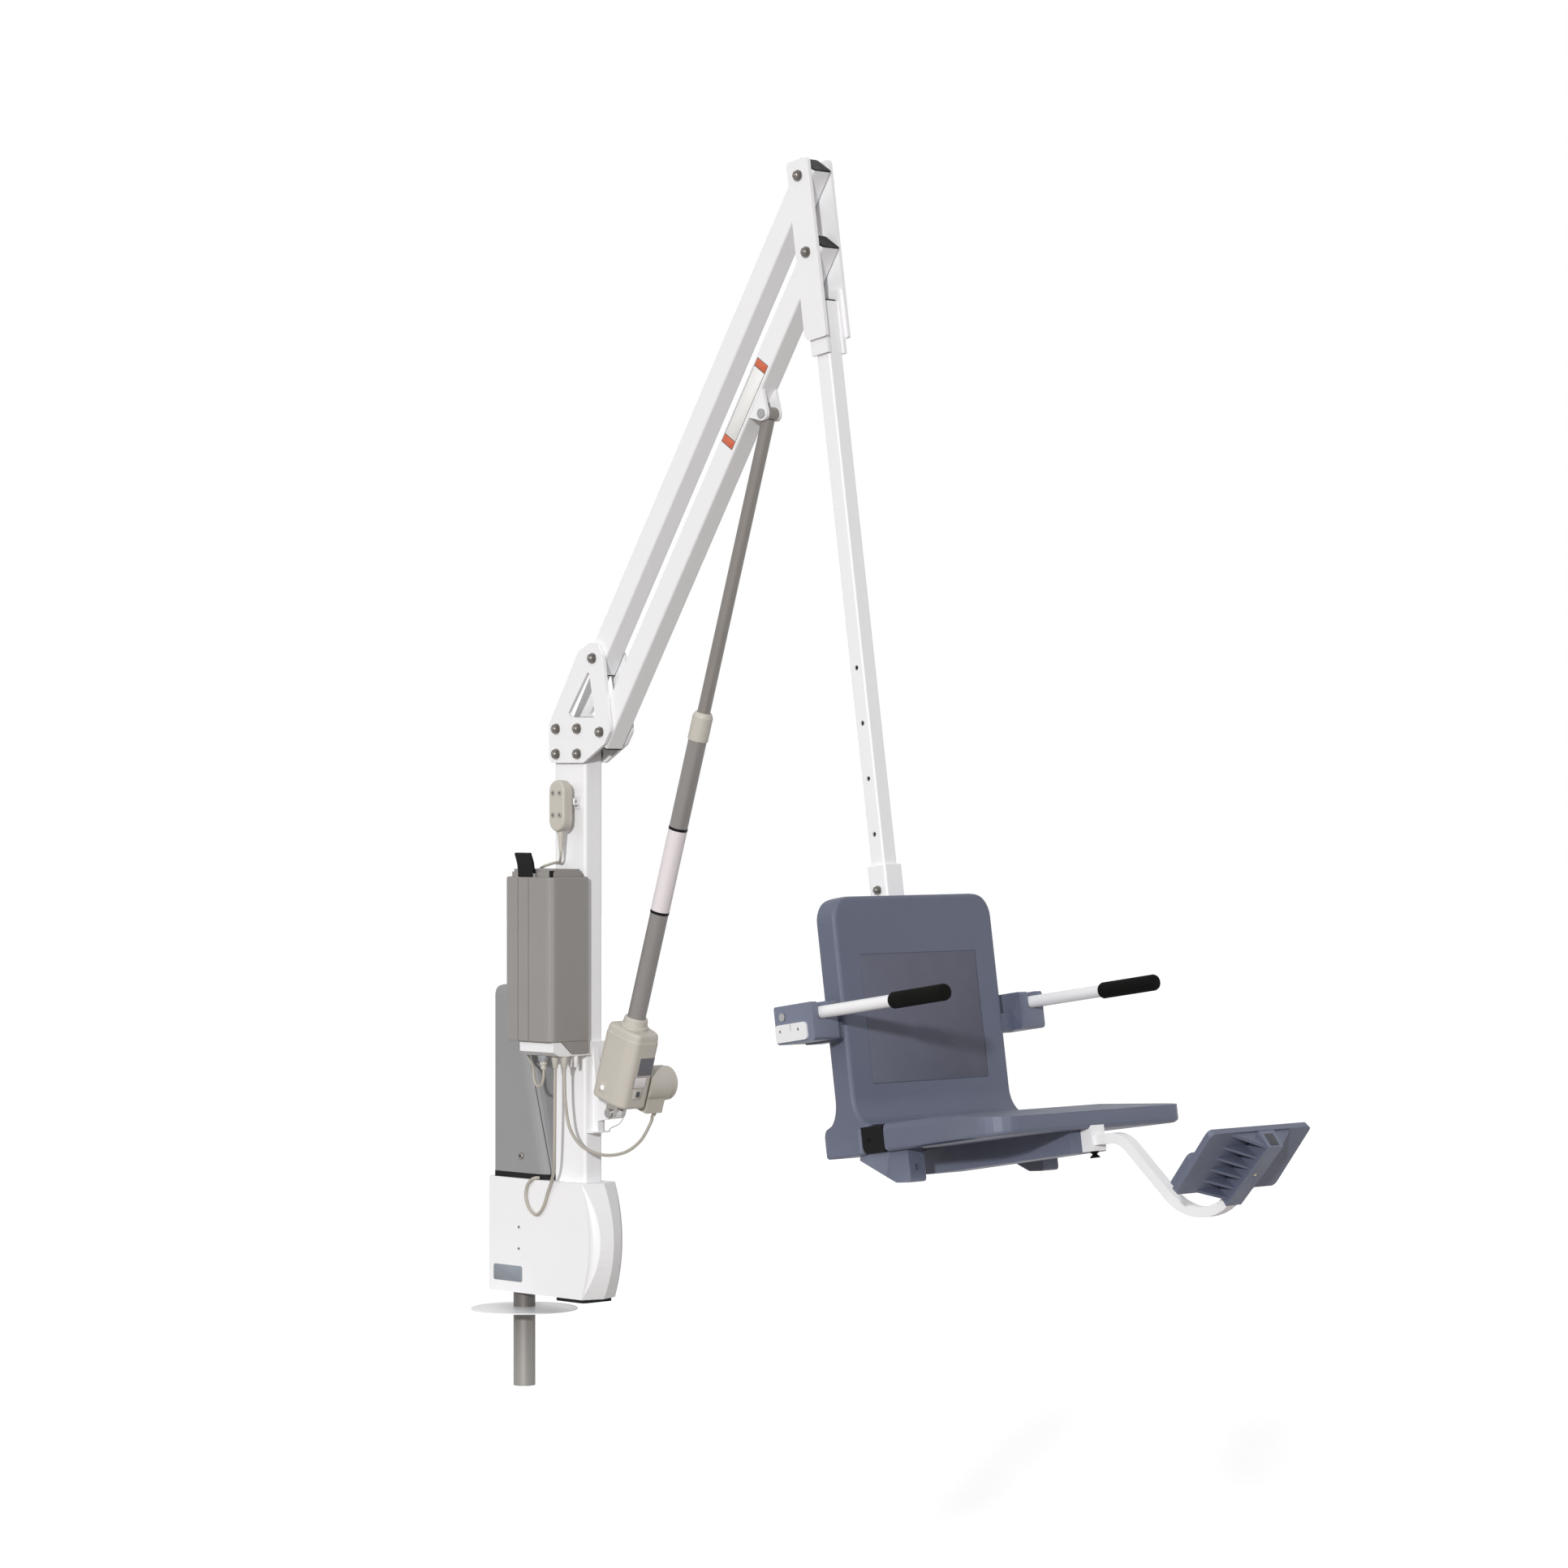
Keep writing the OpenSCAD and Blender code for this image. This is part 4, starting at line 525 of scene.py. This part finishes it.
band("cover_foot", cover_outline(0.5), cover_outline(-0.5), COVER_Z - 0.1, COVER_Z + 5, "column",
     MATERIALS["seal_rubber"])
seam_rings = []
for share in [0.013] + [SLOPE_START + 0.058 * i for i in range(11)] + [0.7, 0.78, 0.86, 0.93]:
    front, z = cover_front(share), COVER_Z + share * COVER_H
    round_at = math.radians(55.3 - 23 * share)
    out, along = (math.sin(round_at), -math.cos(round_at)), (math.cos(round_at), math.sin(round_at))
    seam_rings.append([(front - COVER_ROUND + r * out[0] + w * along[0],
                        COVER_ROUND - COVER_HW + r * out[1] + w * along[1], z)
                       for r, w in ((COVER_ROUND - 1, -SEAM_HALF), (COVER_ROUND + 0.35, -SEAM_HALF),
                                    (COVER_ROUND + 0.35, SEAM_HALF), (COVER_ROUND - 1, SEAM_HALF))])
dress(sharpen(loft("cover_seam", seam_rings), 40), "column", EXTRA["seam"])

# Battery: two seams in the near face, a rim line under the lid and a tab on the lid's front corner
BATTERY_NEAR, BATTERY_LOW, BATTERY_HIGH = -140.85, 602.0, 957.0
LID_X, LID_Y, LID_RADII = (98.5, 247.5), (-138.4, -32.3), (12, 14, 3, 3)


def lid_outline(inset):
    """Plan outline of the battery's lid, drawn in by the inset."""
    return rounded_box(LID_X[0] + inset, LID_X[1] - inset, LID_Y[0] + inset, LID_Y[1] - inset, LID_RADII)


for k, x in enumerate((141.8, 176.7)):
    near_plate(f"battery_seam_{k}", x, (BATTERY_LOW + BATTERY_HIGH) / 2, BATTERY_NEAR + 0.2, (1.5, 351), 0.35,
               EXTRA["seam"], "battery", 0.5)
band("battery_rim", lid_outline(0), lid_outline(2), BATTERY_HIGH - 0.5, BATTERY_HIGH + 0.3, "battery",
     EXTRA["seam"])
dress(plate("battery_tab", (238, -128, BATTERY_HIGH + 0.5), ALONG_X, (0, 1, 0), (6, 10), 14, 1.5), "battery",
      MATERIALS["black_plastic"])

# Under the control box: boots of two plugs, collar and nut of the third, two spare plugs
BOX_UNDERSIDE, BOOT_LOW, BOOT_R = 571.2, 544, 7.8
BOOT = [(BOOT_R - 3.4, 0), (BOOT_R - 2.4, 1), (BOOT_R - 1.2, 13), (BOOT_R, 16),
        (BOOT_R, BOX_UNDERSIDE - BOOT_LOW)]
COLLAR = [(10.5, 0), (11.6, 1), (11.6, 12.5), (10.5, 13.2)]
SPARE = [(3.0, 0), (4.2, 1.5), (4.6, 12), (5.2, 13), (5.2, 25.2)]
for k, plug in enumerate(LEAD_PLUGS):
    dress(turned(f"plug_boot_{k}", BOOT, (*plug, BOOT_LOW), UP_Z, 28), "column", MATERIALS["beige_plastic"])
dress(turned("plug_collar", COLLAR, (*HANDSET_PLUG, 558), UP_Z, 32), "column", EXTRA["collar"])
dress(turned("plug_nut", [(13.2, 0), (13.2, 5.2)], (*HANDSET_PLUG, 566), UP_Z, 6), "column", EXTRA["collar"])
for k, x in enumerate((222, 240)):
    dress(turned(f"spare_plug_{k}", SPARE, (x, -60, 546), UP_Z, 20), "column", EXTRA["vinyl"])

# Actuator housing: blank plates that follow its drawn-back corners, connector and indicator
HOUSING_FRONT, HOUSING_NEAR = 54.0, -41.0
CORNER_W, CORNER_BACK, CORNER_ROUND = 10, 26, 14.0


def housing_front_at(y):
    """Front of the housing's plan outline at y: flat in the middle, rounded and then drawn back."""
    turn_in, r = -HOUSING_NEAR - CORNER_W, CORNER_ROUND
    away = math.atan2(CORNER_BACK, CORNER_W)
    flat = turn_in - r * math.tan(away / 2)
    y = abs(y)
    if y <= flat:
        return HOUSING_FRONT
    if y - flat < r * math.sin(away):
        return HOUSING_FRONT - r + math.sqrt(r * r - (y - flat) ** 2)
    return HOUSING_FRONT - (y - turn_in) * CORNER_BACK / CORNER_W


def housing_label(name, y0, y1, a0, a1, thick, material):
    """Label that follows the housing's front between two widths and two heights."""
    steps = 16
    side = [y0 + (y1 - y0) * i / steps for i in range(steps + 1)]
    rings = []
    for inset, lift in ((0, -0.6), (0, thick - 0.2), (0.3, thick)):
        ring = [(housing_front_at(y) + lift, y, a0 + inset) for y in side]
        ring += [(housing_front_at(y) + lift, y, a1 - inset) for y in reversed(side)]
        rings.append(ring)
    n = len(side)
    verts = [p for ring in rings for p in ring]
    faces = []
    for k in range(2):
        for i in range(2 * n):
            j = (i + 1) % (2 * n)
            faces.append((k * 2 * n + i, k * 2 * n + j, (k + 1) * 2 * n + j, (k + 1) * 2 * n + i))
    for base in (0, 4 * n):
        for i in range(n - 1):
            faces.append((base + i, base + i + 1, base + 2 * n - 2 - i, base + 2 * n - 1 - i))
    obj = sharpen(add_mesh(name, verts, faces, ACTUATOR), 50)
    return dress(obj, "actuator", material)


housing_label("housing_plate_dark", -13, 37, 105, 145, 0.7, EXTRA["label_gray"])
housing_label("housing_plate_rim", -18.5, 16.5, 76, 102, 0.4, EXTRA["edge_gray"])
housing_label("housing_plate_light", -17.5, 15.5, 77, 101, 0.75, EXTRA["pink_vinyl"])
front_plate("housing_socket", HOUSING_FRONT - 0.2, -1, 63, (24, 22), 1.8, MATERIALS["beige_plastic"],
            "actuator", 2.5, ACTUATOR)
front_plate("housing_socket_plug", HOUSING_FRONT + 1.5, -1, 63, (9, 12), 1.4, EXTRA["icon"],
            "actuator", 2.0, ACTUATOR)
near_plate("indicator_frame", -14, 55, HOUSING_NEAR, (22, 22), 0.8, MATERIALS["beige_plastic"],
           "actuator", 3, ACTUATOR)
dress(turned("indicator_lens", [(4.6, 0.5), (4.6, 1.4), (3.6, 2.0), (2.0, 2.4), (0.4, 2.5)],
             (-14, HOUSING_NEAR, 55), OUT, 24, ACTUATOR), "actuator", EXTRA["lens"])

# Handset: a small arrow on each button
HANDSET_X, HANDSET_Z, BUTTON_FACE = 186.0, 1110.5, -70.7
ARROW = ((0, 3.2), (-2.8, -1.8), (2.8, -1.8))
for body, dx, dz, turn in (("lift_up_button", -11, 28, 0), ("lift_down_button", 11, 28, 180),
                           ("turn_left_button", -11, -20, 90), ("turn_right_button", 11, -20, -90)):
    c, s = math.cos(math.radians(turn)), math.sin(math.radians(turn))
    rings = [[(HANDSET_X + dx + c * a - s * b, y, HANDSET_Z + dz + s * a + c * b) for a, b in ARROW]
             for y in (BUTTON_FACE + 0.2, BUTTON_FACE - 0.3)]
    dress(sharpen(loft("arrow_" + body, rings), 30), body, EXTRA["icon"])

# Chair: textured panel on the back's front, strike pad screws, bracket screw
BACK_FACE, PAD_FACE = 67.5, 333.8
front_plate("back_panel", BACK_FACE, 0, -1750, (330, 258), 1.3, EXTRA["panel"], "chair", 4,
            CHAIR)
for side in (-1, 1):
    for k, x in enumerate((-6, 45)):
        pan_screw(f"pad_screw_{k}_{'near' if side < 0 else 'far'}", (x, side * PAD_FACE, -1761),
                  (0, side, 0), 2.8, "chair", CHAIR)
pan_screw("bracket_screw", (96.7, -226, -1990.8), OUT, 4.0, "chair", CHAIR, "black_plastic")

# Footplate: plug in the boss's end and the screw in its lower face
BAR_END, BAR_RISE = (816.23, -2184.57), math.radians(31)


def boss_point(u, v):
    """Point in the footplate's frame: u along it from the bar's end, v square to it."""
    return (BAR_END[0] + u * math.cos(BAR_RISE) - v * math.sin(BAR_RISE), 0,
            BAR_END[1] + u * math.sin(BAR_RISE) + v * math.cos(BAR_RISE))


dress(plate("boss_plug", boss_point(154, 29), (0, 1, 0), (-math.sin(BAR_RISE), 0, math.cos(BAR_RISE)),
            (24, 27), 0.6, 1.5, place=CHAIR), "footrest", EXTRA["icon"])
dress(turned("boss_screw", [(4.6, 0), (4.6, 1.6), (3.6, 2.6), (1.8, 3.2), (0.2, 3.4)], boss_point(79, 3.8),
             (math.sin(BAR_RISE), 0, -math.cos(BAR_RISE)), 24, CHAIR), "footrest", EXTRA["brass"])

# Floor, backdrop and light

# The chair goes down into the pool beside the deck, so the floor lies under its lowest pose
FLOOR_Z, FLOOR_HALF = -1.45, 60
FLOOR_COLOUR, FLOOR_BOUNCE, FLOOR_GLOW = (0.8, 0.8, 0.8, 1), (0.34, 0.295, 0.27, 1), 0.55
AMBIENT = 0.46
floor_mesh = bpy.data.meshes.new("floor")
floor_corners = [(x * FLOOR_HALF, y * FLOOR_HALF, FLOOR_Z) for x, y in ((-1, -1), (1, -1), (1, 1), (-1, 1))]
floor_mesh.from_pydata(floor_corners, [], [(0, 1, 2, 3)])
floor = bpy.data.objects.new("floor", floor_mesh)
bpy.context.scene.collection.objects.link(floor)


def floor_material():
    """Pale floor that reads white to the camera and in reflections, takes the object's shadow, and sends
    a weaker, warm light back up."""
    mat = bpy.data.materials.new("pale_floor")
    mat.use_nodes = True
    nodes, links = mat.node_tree.nodes, mat.node_tree.links
    nodes.clear()
    out = nodes.new("ShaderNodeOutputMaterial")
    matte = nodes.new("ShaderNodeBsdfDiffuse")
    matte.inputs["Color"].default_value = FLOOR_COLOUR
    bounce = nodes.new("ShaderNodeBsdfDiffuse")
    bounce.inputs["Color"].default_value = FLOOR_BOUNCE
    glow = nodes.new("ShaderNodeEmission")
    glow.inputs["Strength"].default_value = FLOOR_GLOW
    rays = nodes.new("ShaderNodeLightPath")
    seen = nodes.new("ShaderNodeMath")
    seen.operation = "MAXIMUM"
    links.new(rays.outputs["Is Camera Ray"], seen.inputs[0])
    links.new(rays.outputs["Is Glossy Ray"], seen.inputs[1])
    both = nodes.new("ShaderNodeAddShader")
    links.new(matte.outputs["BSDF"], both.inputs[0])
    links.new(glow.outputs["Emission"], both.inputs[1])
    pick = nodes.new("ShaderNodeMixShader")
    links.new(seen.outputs["Value"], pick.inputs["Fac"])
    links.new(bounce.outputs["BSDF"], pick.inputs[1])
    links.new(both.outputs["Shader"], pick.inputs[2])
    links.new(pick.outputs["Shader"], out.inputs["Surface"])
    return mat


floor.data.materials.append(floor_material())

# The world is white to the camera and in reflections, and dimmer as a light
world = bpy.data.worlds.new("studio")
bpy.context.scene.world = world
world.use_nodes = True
wn, wl = world.node_tree.nodes, world.node_tree.links
sky = wn["Background"]
sky.inputs["Color"].default_value = (1, 1, 1, 1)
rays = wn.new("ShaderNodeLightPath")
seen = wn.new("ShaderNodeMath")
seen.operation = "MAXIMUM"
wl.new(rays.outputs["Is Camera Ray"], seen.inputs[0])
wl.new(rays.outputs["Is Glossy Ray"], seen.inputs[1])
level = wn.new("ShaderNodeMapRange")
level.inputs["To Min"].default_value = AMBIENT
level.inputs["To Max"].default_value = 1.0
wl.new(seen.outputs["Value"], level.inputs["Value"])
wl.new(level.outputs["Result"], sky.inputs["Strength"])


def sun(name, towards, strength, spread):
    """Lamp that shines from the direction `towards`."""
    data = bpy.data.lights.new(name, "SUN")
    data.energy = strength
    data.angle = math.radians(spread)
    obj = bpy.data.objects.new(name, data)
    obj.rotation_mode = "QUATERNION"
    obj.rotation_quaternion = Vector(towards).to_track_quat("Z", "Y")
    bpy.context.scene.collection.objects.link(obj)


sun("key", (0.57, -0.79, 0.23), 2.0, 2.5)
sun("fill", (-0.35, -0.80, 0.55), 0.3, 35)

bpy.context.scene.view_settings.view_transform = "Standard"
